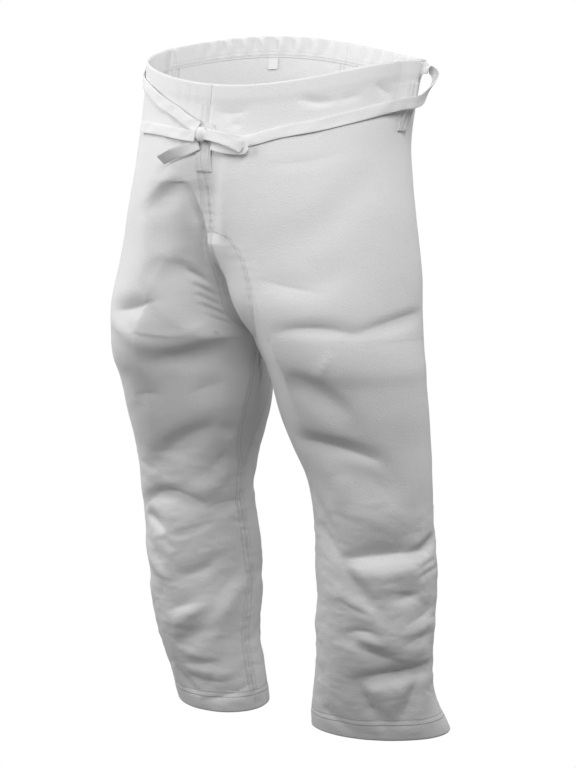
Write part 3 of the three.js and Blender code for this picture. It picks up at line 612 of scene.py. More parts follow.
def fine_height(side, turn, depth):
    """Creases, crumple, and the puckers along the seams."""
    length = girth(depth)
    inner, _ = front_range(side, depth)
    to_inner = np.minimum(np.abs(turn - inner), np.abs(1 - turn - inner)) * length
    height = np.zeros_like(turn)
    for crease in CREASES:
        distance, taper = fold_distance(crease, turn, depth, length, CREASE_END_SHARE)
        left = 1 - np.sqrt(distance**2 + CREASE_EDGE**2) / CREASE_REACH
        facet = (left + np.sqrt(left**2 + CREASE_ROUND**2)) / 2 - CREASE_ROUND**2 / 4
        facet += CREASE_LINE * np.exp(-distance / CREASE_LINE_WIDTH)
        height += np.where(side == crease[0], CREASE_DEPTH * crease[-1] * taper * facet, 0.0)
    points = smooth_form(side, turn, depth)
    share = crumple_share(side, turn, depth)
    height += share * 1.7 * MM * crumple(points, (0.070, 0.040), 0.6)
    height += share * 0.8 * MM * crumple(points, (0.026, 0.016), 0.5)
    height += 0.9 * MM * wander(points, 0.07)
    pucker = np.sin(2 * np.pi * depth / 0.0125 + 3.0 * wander(points, 0.02))
    height += 0.30 * MM * pucker * np.exp(-to_inner / 0.009) * smoothstep(0.13, 0.16, depth)
    near_tape = (1 - smoothstep(0.10, 0.14, depth)) * (1 - smoothstep(0.50, 0.56, turn))
    return height * (1 - 0.6 * near_tape)


# Shader helper


class Graph:
    """A material's node tree, built up node by node."""

    def __init__(self, name):
        self.material = bpy.data.materials.new(name)
        self.material.use_nodes = True
        self.tree = self.material.node_tree
        self.tree.nodes.clear()

    def add(self, kind, settings=None, **inputs):
        node = self.tree.nodes.new(kind)
        for key, value in (settings or {}).items():
            setattr(node, key, value)
        for key, value in inputs.items():
            name = key.replace("_", " ")
            socket = node.inputs[int(name[1:])] if name[0] == "i" and name[1:].isdigit() else node.inputs[name]
            self.feed(socket, value)
        return node

    def feed(self, socket, value):
        if isinstance(value, Value):
            self.tree.links.new(value.socket, socket)
        else:
            socket.default_value = value

    def value(self, node, output=0):
        return Value(self, node.outputs[output])

    def math(self, operation, *terms):
        node = self.tree.nodes.new("ShaderNodeMath")
        node.operation = operation
        for socket, term in zip(node.inputs, terms):
            self.feed(socket, term)
        return self.value(node)

    def mix(self, share, low, high):
        """Mixes two colours by a share."""
        node = self.tree.nodes.new("ShaderNodeMix")
        node.data_type = "RGBA"
        self.feed(node.inputs["Factor"], share)
        self.feed(node.inputs[6], low)
        self.feed(node.inputs[7], high)
        return self.value(node, 2)


class Value:
    """A shader socket that adds its Math nodes when it is used in an expression."""

    def __init__(self, graph, socket):
        self.graph = graph
        self.socket = socket

    def __add__(self, other):
        return self.graph.math("ADD", self, other)

    def __radd__(self, other):
        return self.graph.math("ADD", other, self)

    def __sub__(self, other):
        return self.graph.math("SUBTRACT", self, other)

    def __rsub__(self, other):
        return self.graph.math("SUBTRACT", other, self)

    def __mul__(self, other):
        return self.graph.math("MULTIPLY", self, other)

    def __rmul__(self, other):
        return self.graph.math("MULTIPLY", other, self)

    def sin(self):
        return self.graph.math("SINE", self)

    def abs(self):
        return self.graph.math("ABSOLUTE", self)

    def smooth(self, low, high):
        node = self.graph.add("ShaderNodeMapRange", {"interpolation_type": "SMOOTHSTEP"})
        self.graph.feed(node.inputs["Value"], self)
        self.graph.feed(node.inputs["From Min"], low)
        self.graph.feed(node.inputs["From Max"], high)
        return self.graph.value(node)


# Materials


def stitches(seam, run, rows, pitch):
    """Rows of stitches at set distances from a seam: how much thread there is, 0 to 1."""
    dashes = (run * (2 * math.pi / pitch)).sin().smooth(-0.5, 0.2)
    lines = [1 - (seam - row).abs().smooth(0.03, 0.09) for row in rows]
    return sum(lines[1:], lines[0]) * dashes


def woven(name, colour, pitch, rows=(), roughness=0.88, twill=False, relief=1.0, welt=0.0006):
    """A woven cotton: threads, slubs, soft tone and rows of stitches, with painted shade along the edges of the
    fells and in the stitched grooves.
    """
    graph = Graph(name)
    uv = graph.value(graph.add("ShaderNodeUVMap", {"uv_map": "Cloth"}))
    parts = graph.add("ShaderNodeSeparateXYZ", i0=uv)
    x, y = graph.value(parts, 0), graph.value(parts, 1)
    turns = 2 * math.pi / pitch
    if twill:
        slant = (x.graph.math("PINGPONG", x, pitch * 3) + y) * turns
        weave = slant.sin()
    else:
        weave = (x * turns).sin() * (y * turns).sin()
    stretch = graph.value(graph.add("ShaderNodeCombineXYZ", i0=x * 0.25, i1=y))
    weft = graph.value(graph.add("ShaderNodeTexNoise", Vector=stretch, Scale=900.0, Detail=2.0))
    stretch = graph.value(graph.add("ShaderNodeCombineXYZ", i0=x, i1=y * 0.25))
    warp = graph.value(graph.add("ShaderNodeTexNoise", Vector=stretch, Scale=800.0, Detail=2.0))
    place = graph.value(graph.add("ShaderNodeTexCoord"), 3)
    tone = graph.value(graph.add("ShaderNodeTexNoise", Vector=place, Scale=14.0, Detail=4.0))
    fuzz = graph.value(graph.add("ShaderNodeTexNoise", Vector=place, Scale=420.0, Detail=3.0))
    slub = weft + warp
    height = weave * (0.00006 * relief) + slub * (0.00030 * relief) + fuzz * (0.00022 * relief)
    shade = (slub - 1.0) * 0.10 + (tone - 0.5) * 0.06 + (fuzz - 0.5) * 0.08 + weave * 0.012
    if rows:
        seam = graph.value(graph.add("ShaderNodeAttribute", {"attribute_name": "seam"}), 2)
        run = graph.value(graph.add("ShaderNodeAttribute", {"attribute_name": "run"}), 2)
        thread = stitches(seam, run, rows, 0.0034)
        height = height + thread * 0.00040 - seam.smooth(0.93, 1.07) * welt
        # painted shade: a dark line along the edge of each fell, where the welt's edge throws a shadow
        shade = shade - (1 - (seam - 1).abs().smooth(0.03, 0.14)) * 0.20
        for row in rows:
            groove = 1 - (seam - row).abs().smooth(0.05, 0.22)
            height = height - groove * 0.00040
            # painted shade: the base colour is darkened along each stitched groove, where shade falls into the
            # recess
            shade = shade - groove * 0.12
        shade = shade + thread * 0.16
    dark = tuple(c * 0.80 for c in colour)
    light = tuple(min(1.0, c * 1.10) for c in colour)
    tint = graph.mix((shade + 0.5).smooth(0.0, 1.0), (*dark, 1.0), (*light, 1.0))
    bump = graph.add("ShaderNodeBump", Height=height, Strength=1.0, Distance=1.0)
    shader = graph.add(
        "ShaderNodeBsdfPrincipled",
        Base_Color=tint,
        Normal=graph.value(bump),
        Roughness=roughness,
        Sheen_Weight=0.12,
        Sheen_Roughness=0.5,
        Specular_IOR_Level=0.25,
    )
    output = graph.add("ShaderNodeOutputMaterial")
    graph.tree.links.new(shader.outputs[0], output.inputs[0])
    return graph.material


# Mesh helpers


def laid_grid(name, columns, rows, place):
    """A grid of cloth whose points go where place says. Place takes arrays u and v from 0 to 1, and
    gives the points, the outward directions, the cloth coordinates, the seam distances and runs."""
    bm = bmesh.new()
    bm.loops.layers.uv.new("Cloth")
    bmesh.ops.create_grid(bm, x_segments=columns, y_segments=rows, size=0.5, calc_uvs=True)
    for edge in bm.edges:
        edge.smooth = not edge.is_boundary
    mesh = bpy.data.meshes.new(name)
    bm.to_mesh(mesh)
    bm.free()
    flat = np.empty(len(mesh.vertices) * 3)
    mesh.vertices.foreach_get("co", flat)
    flat = flat.reshape(-1, 3)
    laid = place(flat[:, 0] + 0.5, flat[:, 1] + 0.5)
    mesh.vertices.foreach_set("co", laid["points"].ravel())
    corners = np.empty(len(mesh.loops), dtype=np.int32)
    mesh.loops.foreach_get("vertex_index", corners)
    cloth_uv = np.stack([laid["across"], laid["down"]], axis=-1)[corners]
    mesh.uv_layers["Cloth"].data.foreach_set("uv", cloth_uv.ravel())
    for key in ("seam", "run"):
        if key in laid:
            layer = mesh.attributes.new(key, "FLOAT", "POINT")
            layer.data.foreach_set("value", np.broadcast_to(laid[key], len(flat)).astype(np.float32))
    mesh.update()
    face = mesh.polygons[len(mesh.polygons) // 2]
    if face.normal.dot(Vector(laid["outward"][face.vertices[0]])) < 0:
        mesh.flip_normals()
    mesh.shade_smooth()
    piece = bpy.data.objects.new(name, mesh)
    bpy.context.collection.objects.link(piece)
    return piece


def give_wall(piece, thickness, offset=-1.0):
    wall = piece.modifiers.new("Wall", "SOLIDIFY")
    wall.thickness = thickness
    wall.offset = offset
    wall.use_even_offset = False
    return wall


def dress(piece, material, slot, *nodes):
    piece.data.materials.append(material)
    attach(piece, BODY)
    if nodes:
        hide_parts(*nodes)
    return piece


def gusset_half(side, depth):
    column = np.where(np.asarray(side) > 0, 1, 2)
    left = np.interp(depth, GUSSET_WIDTHS[:, 0], GUSSET_WIDTHS[:, 1])
    right = np.interp(depth, GUSSET_WIDTHS[:, 0], GUSSET_WIDTHS[:, 2])
    tip = 1 - smoothstep(GUSSET_BOTTOM - GUSSET_TIP, GUSSET_BOTTOM, depth)
    return np.where(column == 1, left, right) * (GUSSET_TIP_SHARE + (1 - GUSSET_TIP_SHARE) * tip)


def inner_turn(side, depth):
    """Where a panel's inner edge lies: at the centre seam, the gusset's edge or the inseam."""
    on_gusset = (depth >= GUSSET_TOP) & (depth <= GUSSET_BOTTOM)
    edge = np.where(on_gusset, gusset_half(side, depth), 0.0) + SEAM_GAP / 2
    return edge / girth(depth)


def front_range(side, depth):
    return inner_turn(side, depth), np.full_like(depth, SIDE_TURN)


def back_range(side, depth):
    gap = np.where(np.asarray(side) > 0, VENT_GAP_BACK, VENT_GAP_RIGHT)
    slit = gap * smoothstep(0, VENT_DEPTH, VENT_DEPTH - depth)
    return SIDE_TURN + slit / girth(depth), 1 - inner_turn(side, depth)


def column_turn(low, high, seam, share):
    """Turn of a column. The columns lie evenly and give way only close to the gusset's edge."""
    on_front = low < 1 - high
    given = np.where(on_front, low - seam, 1 - seam - high)
    start = np.where(on_front, seam, low)
    end = np.where(on_front, high, 1 - seam)
    even = start + (end - start) * share
    power = np.minimum(CROWD_MOST, CROWD_SHARE * (high - low) / np.maximum(given, seam))
    shift = given * np.where(on_front, 1 - share, share) ** power
    return even + np.where(on_front, shift, -shift)


def crowded(u):
    """Columns from 0 to 1 that lie closer together near both edges."""
    return u - 0.085 * np.sin(2 * np.pi * u)


def stitched_edge(side, turn, depth, low, high):
    """Distance to the nearest stitched edge of a panel, in widths of its welt."""
    length = girth(depth)
    on_front = low < 1 - high
    to_inner = np.where(on_front, turn - low, high - turn) * length
    to_outer = np.where(on_front, high - turn, turn - low) * length
    above = depth < GUSSET_TOP
    inner = to_inner / np.where(above & on_front, CENTRE_FELL, FELL)
    inner = np.where(above & (side > 0), UNSTITCHED, inner)
    outer = np.where(on_front | (depth > VENT_DEPTH), UNSTITCHED, to_outer / FELL)
    return np.minimum(inner, outer)


def snapped(depth, *levels):
    """Moves the nearest row of each level to it."""
    rows = np.unique(depth)
    for level in levels:
        nearest = rows[np.argmin(np.abs(rows - level))]
        depth = np.where(depth == nearest, level, depth)
    return depth


def panel(name, side, turn_range, columns, rows, material, wall):
    """A leg's front or back from the casing to the hem."""
    top = CASING_HEIGHT + 0.05 * MM
    bottom = OUTSEAM - HEM_HEIGHT - 0.05 * MM

    def place(u, v):
        row = np.rint(v * rows) / rows
        depth = snapped(top + (bottom - top) * row, GUSSET_TOP, GUSSET_SHOULDER, GUSSET_BOTTOM)
        low, high = turn_range(side, depth)
        length = girth(depth)
        turn = column_turn(low, high, SEAM_GAP / 2 / length, crowded(u))
        facing = outward(smooth_form, side, turn, depth)
        relief = fine_height(side, turn, depth)[:, None]
        points = coarse_form(side, turn, depth) + facing * relief
        points[:, 0] = side * np.maximum(SEAM_GAP / 2, side * points[:, 0])
        return {
            "points": points,
            "outward": facing,
            "across": turn * length,
            "down": depth,
            "seam": stitched_edge(side, turn, depth, low, high),
            "run": depth,
        }

    piece = laid_grid(name + "_cloth", columns, rows, place)
    give_wall(piece, wall)
    return dress(piece, material, "cotton", name)


def folded_band(name, side, turn_range, edge, height, columns, material, upwards):
    """Cloth folded back on itself along an edge: the waist casing, or a hem when not upwards."""
    proud, inset = 0.8 * MM, 2.4 * MM
    sheet = 1.0 * MM
    radius = (proud + inset) / 2
    middle = (proud - inset) / 2
    straight = height - radius
    total = 2 * straight + math.pi * radius
    direction = 1 if upwards else -1
    rows = 30

    def place(u, v):
        s = v * total
        angle = np.clip((s - straight) / radius, 0, math.pi)
        from_edge = np.where(
            s < straight,
            height - s,
            np.where(angle < math.pi, radius * (1 - np.sin(angle)), s - straight - math.pi * radius + radius),
        )
        outside = s < straight + math.pi * radius / 2
        depth = edge + direction * from_edge
        blend = smoothstep(0, 0.012, height - from_edge)
        lift = middle + radius * np.cos(angle)
        lift = np.where(outside & (s < straight), proud * blend, lift)
        low, high = turn_range(side, depth)
        length = girth(depth)
        turn = column_turn(low, high, SEAM_GAP / 2 / length, crowded(u))
        relief = fine_height(side, turn, depth)
        points = on_cloth(side, turn, depth, lift + relief)
        points[:, 0] = side * np.maximum(SEAM_GAP / 2, side * points[:, 0])
        facing = outward(smooth_form, side, turn, depth)
        return {
            "points": points,
            "outward": np.where(outside[:, None], facing, -facing),
            "across": turn * length,
            "down": s,
            "seam": (height - from_edge) / FELL,
            "run": turn * length,
        }

    piece = laid_grid(name + "_cloth", columns, rows, place)
    give_wall(piece, sheet)
    return dress(piece, material, "cotton", name)


def crotch_depth():
    """Where the front halves meet the back halves of the gusset, as the oval closes."""
    high, low = GUSSET_TOP, GUSSET_BOTTOM
    while low - high > 0.01 * MM:
        middle = (high + low) / 2
        mid_x, _, half_width, _, _, _ = ring_at(np.array(middle))
        if mid_x < half_width:
            high = middle
        else:
            low = middle
    return high


def gusset_place(u, v):
    crotch = crotch_depth()
    gap = 0.4 * MM
    t = 1 - np.abs(2 * v - 1)
    front = v < 0.5
    edge_depth = snapped(GUSSET_TOP + (GUSSET_BOTTOM - GUSSET_TOP) * np.round(t, 6), GUSSET_SHOULDER)
    edge_depth = np.maximum(edge_depth, GUSSET_TOP + gap)
    crotch_line = GUSSET_TOP + (crotch - GUSSET_TOP) * t
    side = np.where(u < 0.5, -1.0, 1.0)
    share = np.abs(2 * u - 1)
    half = gusset_half(side, edge_depth)
    edge = (half - gap / 2) / girth(edge_depth)
    turn = np.where(front, edge * share, 1 - edge * share)
    depth = crotch_line + (edge_depth - crotch_line) * share
    seam = (1 - share) * half
    points = on_cloth(side, turn, depth, 0.0)
    facing = outward(coarse_form, side, turn, depth)
    middle = share < 1e-6
    points[middle, 0] = 0.0
    facing[middle, 0] = 0.0
    facing /= np.linalg.norm(facing, axis=-1, keepdims=True)
    relief = fine_height(side, turn, depth)
    points = points + facing * (relief * smoothstep(0.0, 0.15, share))[:, None]
    return {
        "points": points,
        "outward": facing,
        "across": turn * girth(depth) * side,
        "down": depth,
        "seam": seam / FELL,
        "run": edge_depth,
    }


# Settings


class TrouserCloth(bpy.types.PropertyGroup):
    """The cotton and its mesh"""

    wall: FloatProperty(name="Wall", description="Thickness of the cloth", default=0.0016, unit="LENGTH")
    weave: FloatProperty(name="Weave", description="Pitch of the threads", default=0.0013, unit="LENGTH")
    columns: IntProperty(name="Columns", description="Faces across a panel", default=108, min=12)
    rows: IntProperty(name="Rows", description="Faces down a panel", default=360, min=40)
    colour: FloatVectorProperty(
        name="Cotton", description="Colour of the cotton", subtype="COLOR", default=(0.80, 0.80, 0.80)
    )
    tape_colour: FloatVectorProperty(
        name="Tape", description="Colour of the drawstring", subtype="COLOR", default=(0.84, 0.84, 0.84)
    )


class TrouserStage(bpy.types.PropertyGroup):
    """The camera, lights and floor"""

    camera_place: FloatVectorProperty(
        name="Camera", description="Place of the camera", subtype="XYZ", unit="LENGTH",
        default=(2.16499, -2.49054, -0.144),
    )
    camera_tilt: FloatProperty(
        name="Tilt", description="Turn of the camera from straight down", subtype="ANGLE",
        default=math.radians(85.04),
    )
    camera_heading: FloatProperty(
        name="Heading", description="Turn of the camera about the vertical", subtype="ANGLE",
        default=math.radians(40.884),
    )
    lens: FloatProperty(name="Lens", description="Focal length in millimetres", default=116.1)
    key_power: FloatProperty(name="Key", description="Power of the high front light in watts", default=22.0)
    front_power: FloatProperty(name="Front", description="Power of the low front light in watts", default=14.0)
    side_power: FloatProperty(name="Side", description="Power of the right light in watts", default=18.0)
    rim_power: FloatProperty(name="Rim", description="Power of the left light in watts", default=10.0)
    back_power: FloatProperty(name="Back", description="Power of the light behind in watts", default=16.0)
    ambient: FloatProperty(name="Ambient", description="Brightness of the surroundings", default=0.19)
    floor_size: FloatProperty(
        name="Floor", description="Half width of the floor", default=1.8, unit="LENGTH"
    )


# Operators


def cotton(context, name="Cotton canvas", rows=()):
    cloth = context.scene.trouser_cloth
    if name in bpy.data.materials:
        return bpy.data.materials[name]
    return woven(name, tuple(cloth.colour), cloth.weave, rows)


def tape_cotton(context):
    cloth = context.scene.trouser_cloth
    if "Twill tape" in bpy.data.materials:
        return bpy.data.materials["Twill tape"]
    return woven("Twill tape", tuple(cloth.tape_colour), 0.0011, twill=True, relief=0.7)


class OBJECT_OT_trousers_panels(bpy.types.Operator):
    """Adds the four leg panels"""

    bl_idname = "object.trousers_panels"
    bl_label = "Leg Panels"

    def execute(self, context):
        cloth = context.scene.trouser_cloth
        material = cotton(context, "Cotton canvas, felled seams", (0.2, 0.8))
        for side, word in HALVES:
            front = panel(
                f"front_panel_{word}", side, front_range, cloth.columns, cloth.rows, material, cloth.wall
            )
            back = panel(
                f"back_panel_{word}", side, back_range, cloth.columns - 12, cloth.rows, material, cloth.wall
            )
        return {"FINISHED"}


class OBJECT_OT_trousers_gusset(bpy.types.Operator):
    """Adds the crotch gusset"""

    bl_idname = "object.trousers_gusset"
    bl_label = "Crotch Gusset"

    def execute(self, context):
        cloth = context.scene.trouser_cloth
        piece = laid_grid("crotch_gusset_cloth", 48, 260, gusset_place)
        give_wall(piece, cloth.wall)
        dress(piece, cotton(context, "Cotton canvas"), "cotton", "crotch_gusset")
        return {"FINISHED"}


class OBJECT_OT_trousers_bands(bpy.types.Operator):
    """Adds the waist casings and the hems"""

    bl_idname = "object.trousers_bands"
    bl_label = "Casings and Hems"

    def execute(self, context):
        cloth = context.scene.trouser_cloth
        plain = cotton(context, "Cotton canvas")
        sewn = cotton(context, "Cotton canvas, one stitched row", (0.3,))
        for side, word in HALVES:
            for half, turn_range in (("front", front_range), ("back", back_range)):
                casing = folded_band(
                    f"casing_{half}_{word}", side, turn_range, 0.0, CASING_HEIGHT,
                    cloth.columns * 2, plain if half == "front" else sewn, True,
                )
                hem = folded_band(
                    f"hem_{half}_{word}", side, turn_range, OUTSEAM, HEM_HEIGHT,
                    cloth.columns, sewn, False,
                )
        return {"FINISHED"}


class OBJECT_OT_trousers_trim(bpy.types.Operator):
    """Adds the vent strips, the centre-front loop and the bare size label"""

    bl_idname = "object.trousers_trim"
    bl_label = "Strips, Loop and Label"

    def execute(self, context):
        strip_cloth = cotton(context, "Cotton canvas, edge stitched", (0.3,))
        for side, word in HALVES:
            strip = vent_strip(f"vent_strip_{word}", side, strip_cloth)
        loop = centre_loop(strip_cloth)
        tag = label(woven("Label satin", (0.86, 0.86, 0.86), 0.0005, relief=0.3, roughness=0.6))
        return {"FINISHED"}


def vent_strip(name, side, material):
    """The stitched strip along the front edge of a side vent."""
    top = CASING_HEIGHT + SEAM_GAP
    bottom = VENT_DEPTH - 2 * MM
    thickness = 1.6 * MM

    def place(u, v):
        depth = top + (bottom - top) * v
        length = girth(depth)
        turn = SIDE_TURN - STRIP_WIDTH * (1 - u) / length
        stand_off = STRIP_STAND_OFF * u * u * smoothstep(0, VENT_DEPTH, depth)
        side_edge = np.minimum(u, 1 - u) * STRIP_WIDTH
        edge = np.minimum(side_edge, np.minimum(v, 1 - v) * (bottom - top))
        rounding = -0.6 * MM * np.exp(-((edge / 0.0012) ** 2))
        points = on_cloth(side, turn, depth, STRIP_GAP + stand_off + thickness + rounding)
        return {
            "points": points,
            "outward": outward(smooth_form, side, turn, depth),
            "across": u * STRIP_WIDTH,
            "down": depth,
            "seam": side_edge / FELL,
            "run": depth,
        }

    piece = laid_grid(name + "_cloth", 14, 40, place)
    give_wall(piece, thickness)
    return dress(piece, material, "cotton", name)


def near_centre(x, depth, lift):
    side = np.where(x < 0, -1.0, 1.0)
    return on_cloth(side, np.abs(x) / girth(depth), depth, lift)


def centre_loop(material):
    """The strip at the centre front that the drawstring is tied over."""
    thickness = 1.8 * MM
    tack_from = LOOP_TO - 0.012

    def place(u, v):
        depth = LOOP_FROM + (LOOP_TO - LOOP_FROM) * v
        x = (u - 0.5) * LOOP_WIDTH
        edge = np.minimum(np.minimum(u, 1 - u) * LOOP_WIDTH, (1 - v) * (LOOP_TO - LOOP_FROM))
        rounding = -0.7 * MM * np.exp(-((edge / 0.0012) ** 2))
        zig = np.abs(((depth - tack_from) / 0.0032) % 2 - 1) * 0.012 - 0.006
        tack = np.exp(-(((x - zig) / 0.0012) ** 2)) * (depth > tack_from) * (depth < LOOP_TO - 0.002)
        points = near_centre(x, depth, LOOP_GAP + thickness + rounding + 0.5 * MM * tack)
        side = np.where(x < 0, -1.0, 1.0)
        return {
            "points": points,
            "outward": outward(smooth_form, side, np.abs(x) / girth(depth), depth),
            "across": x,
            "down": depth,
            "seam": np.minimum(u, 1 - u) * LOOP_WIDTH / FELL,
            "run": depth,
        }

    piece = laid_grid("centre_front_loop_cloth", 36, 90, place)
    give_wall(piece, thickness)
    return dress(piece, material, "cotton", "centre_front_loop")


def label(material):
    """The bare size label, sewn under the back casing on the inside."""
    side, middle_turn, middle_depth = LABEL_PLACE
    width, height = LABEL_SIZE
    hang = 1.8 * MM + LABEL_HANG

    def place(u, v):
        depth = middle_depth + (v - 0.5) * height
        turn = middle_turn + (u - 0.5) * width / girth(np.full_like(u, middle_depth))
        curl = 0.5 * MM * v * v
        points = on_cloth(side, turn, depth, -hang - curl)
        return {
            "points": points,
            "outward": outward(smooth_form, side, turn, depth),
            "across": u * width,
            "down": v * height,
        }

    piece = laid_grid("size_label_cloth", 10, 12, place)
    give_wall(piece, 0.5 * MM)
    return dress(piece, material, "label", "size_label")


# Drawstring


def route_points(route, count):
    """Centreline of a tape on a smooth curve through its route, with its outward directions."""
    rows = np.array(route, float)
    centres = np.concatenate([on_cloth(np.array([r[0]]), r[1:2], r[2:3], r[3:4]) for r in rows])
    ups = np.concatenate([outward(smooth_form, np.array([r[0]]), r[1:2], r[2:3]) for r in rows])
    gaps = np.sqrt(np.linalg.norm(np.diff(centres, axis=0), axis=1))
    at = np.linspace(0, len(rows) - 1, count)
    line = np.array([catmull(centres, gaps, t) for t in at])
    k = np.clip(at.astype(int), 0, len(rows) - 2)
    share = (at - k)[:, None]
    up = ups[k] * (1 - share) + ups[k + 1] * share
    lean = np.radians(rows[k, 4] * (1 - share[:, 0]) + rows[k + 1, 4] * share[:, 0]) * rows[0, 0]
    ahead = np.gradient(line, axis=0)
    ahead /= np.linalg.norm(ahead, axis=1, keepdims=True)
    up -= ahead * np.sum(up * ahead, axis=1, keepdims=True)
    up /= np.linalg.norm(up, axis=1, keepdims=True)
    leant = up * np.cos(lean)[:, None] + np.cross(ahead, up) * np.sin(lean)[:, None]
    return line, ahead, leant, np.cross(ahead, leant)


def catmull(points, gaps, t):
    """Centripetal Catmull-Rom curve."""
    last = len(points) - 1
    i = min(int(t), last - 1)
    w = t - i
    before = points[i - 1] if i > 0 else 2 * points[0] - points[1]
    after = points[i + 2] if i + 2 <= last else 2 * points[last] - points[last - 1]
    p0, p1, p2, p3 = before, points[i], points[i + 1], after
    d1 = gaps[i]
    d0 = gaps[i - 1] if i > 0 else np.sqrt(np.linalg.norm(p1 - p0))
    d2 = gaps[i + 1] if i + 2 <= last else np.sqrt(np.linalg.norm(p3 - p2))
    d0, d2 = (d if d > 1e-4 else d1 for d in (d0, d2))
    m1 = ((p1 - p0) / d0 - (p2 - p0) / (d0 + d1) + (p2 - p1) / d1) * d1
    m2 = ((p2 - p1) / d1 - (p3 - p1) / (d1 + d2) + (p3 - p2) / d2) * d1
    return (
        (2 * w**3 - 3 * w**2 + 1) * p1
        + (w**3 - 2 * w**2 + w) * m1
        + (3 * w**2 - 2 * w**3) * p2
        + (w**3 - w**2) * m2
    )


def tape(name, material):
    """A flat woven tape along its route, a little cupped and wavy, with softened edges."""
    fine = route_points(ROUTES[name], 160)
    length = np.linalg.norm(np.diff(fine[0], axis=0), axis=1).sum()
    rows = max(40, round(length / 0.0022))
    line, ahead, up, across = route_points(ROUTES[name], rows + 1)
    thickness = TAPE_THICKNESS * 0.62

    def place(u, v):
        k = np.rint(v * rows).astype(int)
        x = (u - 0.5) * TAPE_WIDTH
        along = v * length
        cup = 0.35 * MM * (2 * np.abs(u - 0.5)) ** 2 * np.sin(along / 0.017)
        ripple = 0.30 * MM * np.sin(along / 0.0062 + 4 * u) * np.sin(along / 0.023)
        edge = -0.35 * MM * np.exp(-((np.minimum(u, 1 - u) * TAPE_WIDTH / 0.0009) ** 2))
        lift = thickness / 2 + cup + ripple + edge
        points = line[k] + across[k] * x[:, None] + up[k] * lift[:, None]
        return {"points": points, "outward": up[k], "across": x, "down": along}

    piece = laid_grid(name + "_tape", 14, rows, place)
    give_wall(piece, thickness)
    dress(piece, material, "tape", name)
    return piece, line, length


def knot(material):
    """The knot: a band of the tape drawn round the others."""
    centre = near_centre(np.array([KNOT_PLACE[0]]), np.array([KNOT_PLACE[1]]), np.array([KNOT_PLACE[2]]))[0]
    half = np.array(KNOT_HALF_SIZE) * KNOT_SWELL

    def place(u, v):
        angle = 2 * np.pi * u
        width = v - 0.5
        waist = 1 - 0.30 * np.cos(2 * np.pi * width) ** 2
        pleat = 1 + 0.05 * np.sin(5 * 2 * np.pi * v + 2 * np.sin(angle))
        x = half[0] * (width * 1.7 + 0.22 * np.sin(angle)) * 0.95
        z = half[2] * np.cos(angle) * (0.72 + 0.28 * np.cos(np.pi * width)) * pleat
        y = -half[1] * np.sin(angle) * (0.70 + 0.30 * np.cos(np.pi * width)) * pleat
        turn = math.radians(-28)
        points = np.stack([x * np.cos(turn) - z * np.sin(turn), y, x * np.sin(turn) + z * np.cos(turn)], axis=-1)
        direction = points / np.linalg.norm(points, axis=-1, keepdims=True)
        points = np.clip(points, -half, half) + centre
        return {"points": points, "outward": direction, "across": v * 0.016, "down": u * 0.04}

    piece = laid_grid("drawstring_knot_tape", 48, 16, place)
    give_wall(piece, 0.9 * MM)
    dress(piece, material, "tape", "drawstring_knot")
    return piece


class OBJECT_OT_trousers_drawstring(bpy.types.Operator):
    """Adds the tied drawstring"""

    bl_idname = "object.trousers_drawstring"
    bl_label = "Drawstring"

    def execute(self, context):
        material = tape_cotton(context)
        made = {name: tape(name, material) for name in ROUTES}
        tied = knot(material)
        return {"FINISHED"}


# Stage


class OBJECT_OT_trousers_stage(bpy.types.Operator):
    """Adds the camera, the lights and the pale floor"""

    bl_idname = "object.trousers_stage"
    bl_label = "Stage"

    def execute(self, context):
        stage = context.scene.trouser_stage
        camera = bpy.data.objects.new("Camera", bpy.data.cameras.new("Camera"))
        camera.location = stage.camera_place
        camera.rotation_euler = (stage.camera_tilt, 0, stage.camera_heading)
        camera.data.lens = stage.lens
        camera.data.clip_end = 50
        context.collection.objects.link(camera)
        context.scene.camera = camera
        area_light("Key", (1.17, -1.17, 1.04), (0, 0, -0.25), 1.2, stage.key_power)
        area_light("Front", (-1.13, -1.62, 0.47), (0, 0, -0.25), 1.2, stage.front_power)
        area_light("Side", (-1.49, -0.40, 0.62), (0, 0, -0.1), 0.9, stage.side_power)
        area_light("Rim", (1.28, -0.11, 1.10), (0, 0, -0.25), 0.9, stage.rim_power)
        area_light("Back", (0.50, 1.90, 0.80), (0, 0, -0.35), 1.2, stage.back_power)
        floor(stage.floor_size)
        surroundings(context.scene, stage.ambient)
        context.scene.view_settings.view_transform = "Standard"
        return {"FINISHED"}


def area_light(name, place, target, size, power):
    light = bpy.data.lights.new(name, "AREA")
    light.shape = "DISK"
    light.size = size
    light.energy = power
    lamp = bpy.data.objects.new(name, light)
    lamp.location = place
    lamp.rotation_mode = "QUATERNION"
    lamp.rotation_quaternion = (Vector(target) - Vector(place)).to_track_quat("-Z", "Y")
    bpy.context.collection.objects.link(lamp)


def floor(size):
    bm = bmesh.new()
    bmesh.ops.create_grid(bm, x_segments=2, y_segments=2, size=size)
    height = cad_box[0][2] - 0.012
    bmesh.ops.translate(bm, verts=bm.verts, vec=(0, 0, height))
    mesh = bpy.data.meshes.new("Floor")
    bm.to_mesh(mesh)
    bm.free()
    piece = bpy.data.objects.new("Floor", mesh)
    bpy.context.collection.objects.link(piece)
    graph = Graph("Pale floor")
    place = graph.value(graph.add("ShaderNodeTexCoord"), 3)
    reach = graph.value(graph.add("ShaderNodeVectorMath", {"operation": "LENGTH"}, i0=place), 1)
    shader = graph.add("ShaderNodeBsdfPrincipled", Roughness=0.9)
    shader.inputs["Base Color"].default_value = (0.94, 0.94, 0.94, 1)
    graph.feed(shader.inputs["Alpha"], FLOOR_ALPHA * (1 - reach.smooth(*FLOOR_FADE)))
    output = graph.add("ShaderNodeOutputMaterial")
    graph.tree.links.new(shader.outputs[0], output.inputs[0])
    mesh.materials.append(graph.material)


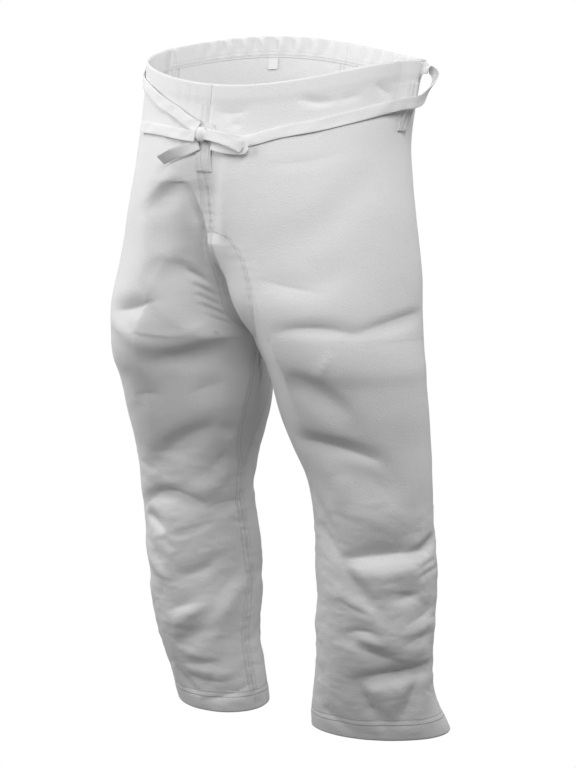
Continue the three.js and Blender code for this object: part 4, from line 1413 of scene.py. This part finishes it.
def surroundings(scene, ambient):
    """A white background that lights the trousers only softly."""
    world = bpy.data.worlds.new("Studio")
    scene.world = world
    world.use_nodes = True
    tree = world.node_tree
    tree.nodes.clear()
    seen = tree.nodes.new("ShaderNodeBackground")
    seen.inputs["Color"].default_value = (1, 1, 1, 1)
    seen.inputs["Strength"].default_value = 1.0
    glow = tree.nodes.new("ShaderNodeBackground")
    glow.inputs["Color"].default_value = (1, 1, 1, 1)
    glow.inputs["Strength"].default_value = ambient
    path = tree.nodes.new("ShaderNodeLightPath")
    mix = tree.nodes.new("ShaderNodeMixShader")
    output = tree.nodes.new("ShaderNodeOutputWorld")
    tree.links.new(path.outputs["Is Camera Ray"], mix.inputs[0])
    tree.links.new(glow.outputs[0], mix.inputs[1])
    tree.links.new(seen.outputs[0], mix.inputs[2])
    tree.links.new(mix.outputs[0], output.inputs[0])


class VIEW3D_PT_trousers(bpy.types.Panel):
    """Lists the trousers' pieces"""

    bl_label = "Karate Trousers"
    bl_idname = "VIEW3D_PT_trousers"
    bl_space_type = "VIEW_3D"
    bl_region_type = "UI"
    bl_category = "Trousers"

    def draw(self, context):
        layout = self.layout
        for operator in STEPS:
            layout.operator(operator.bl_idname)
        for key in TrouserCloth.__annotations__:
            layout.prop(context.scene.trouser_cloth, key)
        for key in TrouserStage.__annotations__:
            layout.prop(context.scene.trouser_stage, key)


STEPS = (
    OBJECT_OT_trousers_stage,
    OBJECT_OT_trousers_drawstring,
    OBJECT_OT_trousers_panels,
    OBJECT_OT_trousers_gusset,
    OBJECT_OT_trousers_bands,
    OBJECT_OT_trousers_trim,
)
CLASSES = (TrouserCloth, TrouserStage, *STEPS, VIEW3D_PT_trousers)


def register():
    for cls in CLASSES:
        bpy.utils.register_class(cls)
    bpy.types.Scene.trouser_cloth = PointerProperty(type=TrouserCloth)
    bpy.types.Scene.trouser_stage = PointerProperty(type=TrouserStage)


def unregister():
    del bpy.types.Scene.trouser_stage
    del bpy.types.Scene.trouser_cloth
    for cls in reversed(CLASSES):
        bpy.utils.unregister_class(cls)


def main():
    register()
    bpy.ops.object.trousers_stage()
    bpy.ops.object.trousers_drawstring()
    bpy.ops.object.trousers_panels()
    bpy.ops.object.trousers_gusset()
    bpy.ops.object.trousers_bands()
    bpy.ops.object.trousers_trim()


if __name__ == "__main__":
    main()
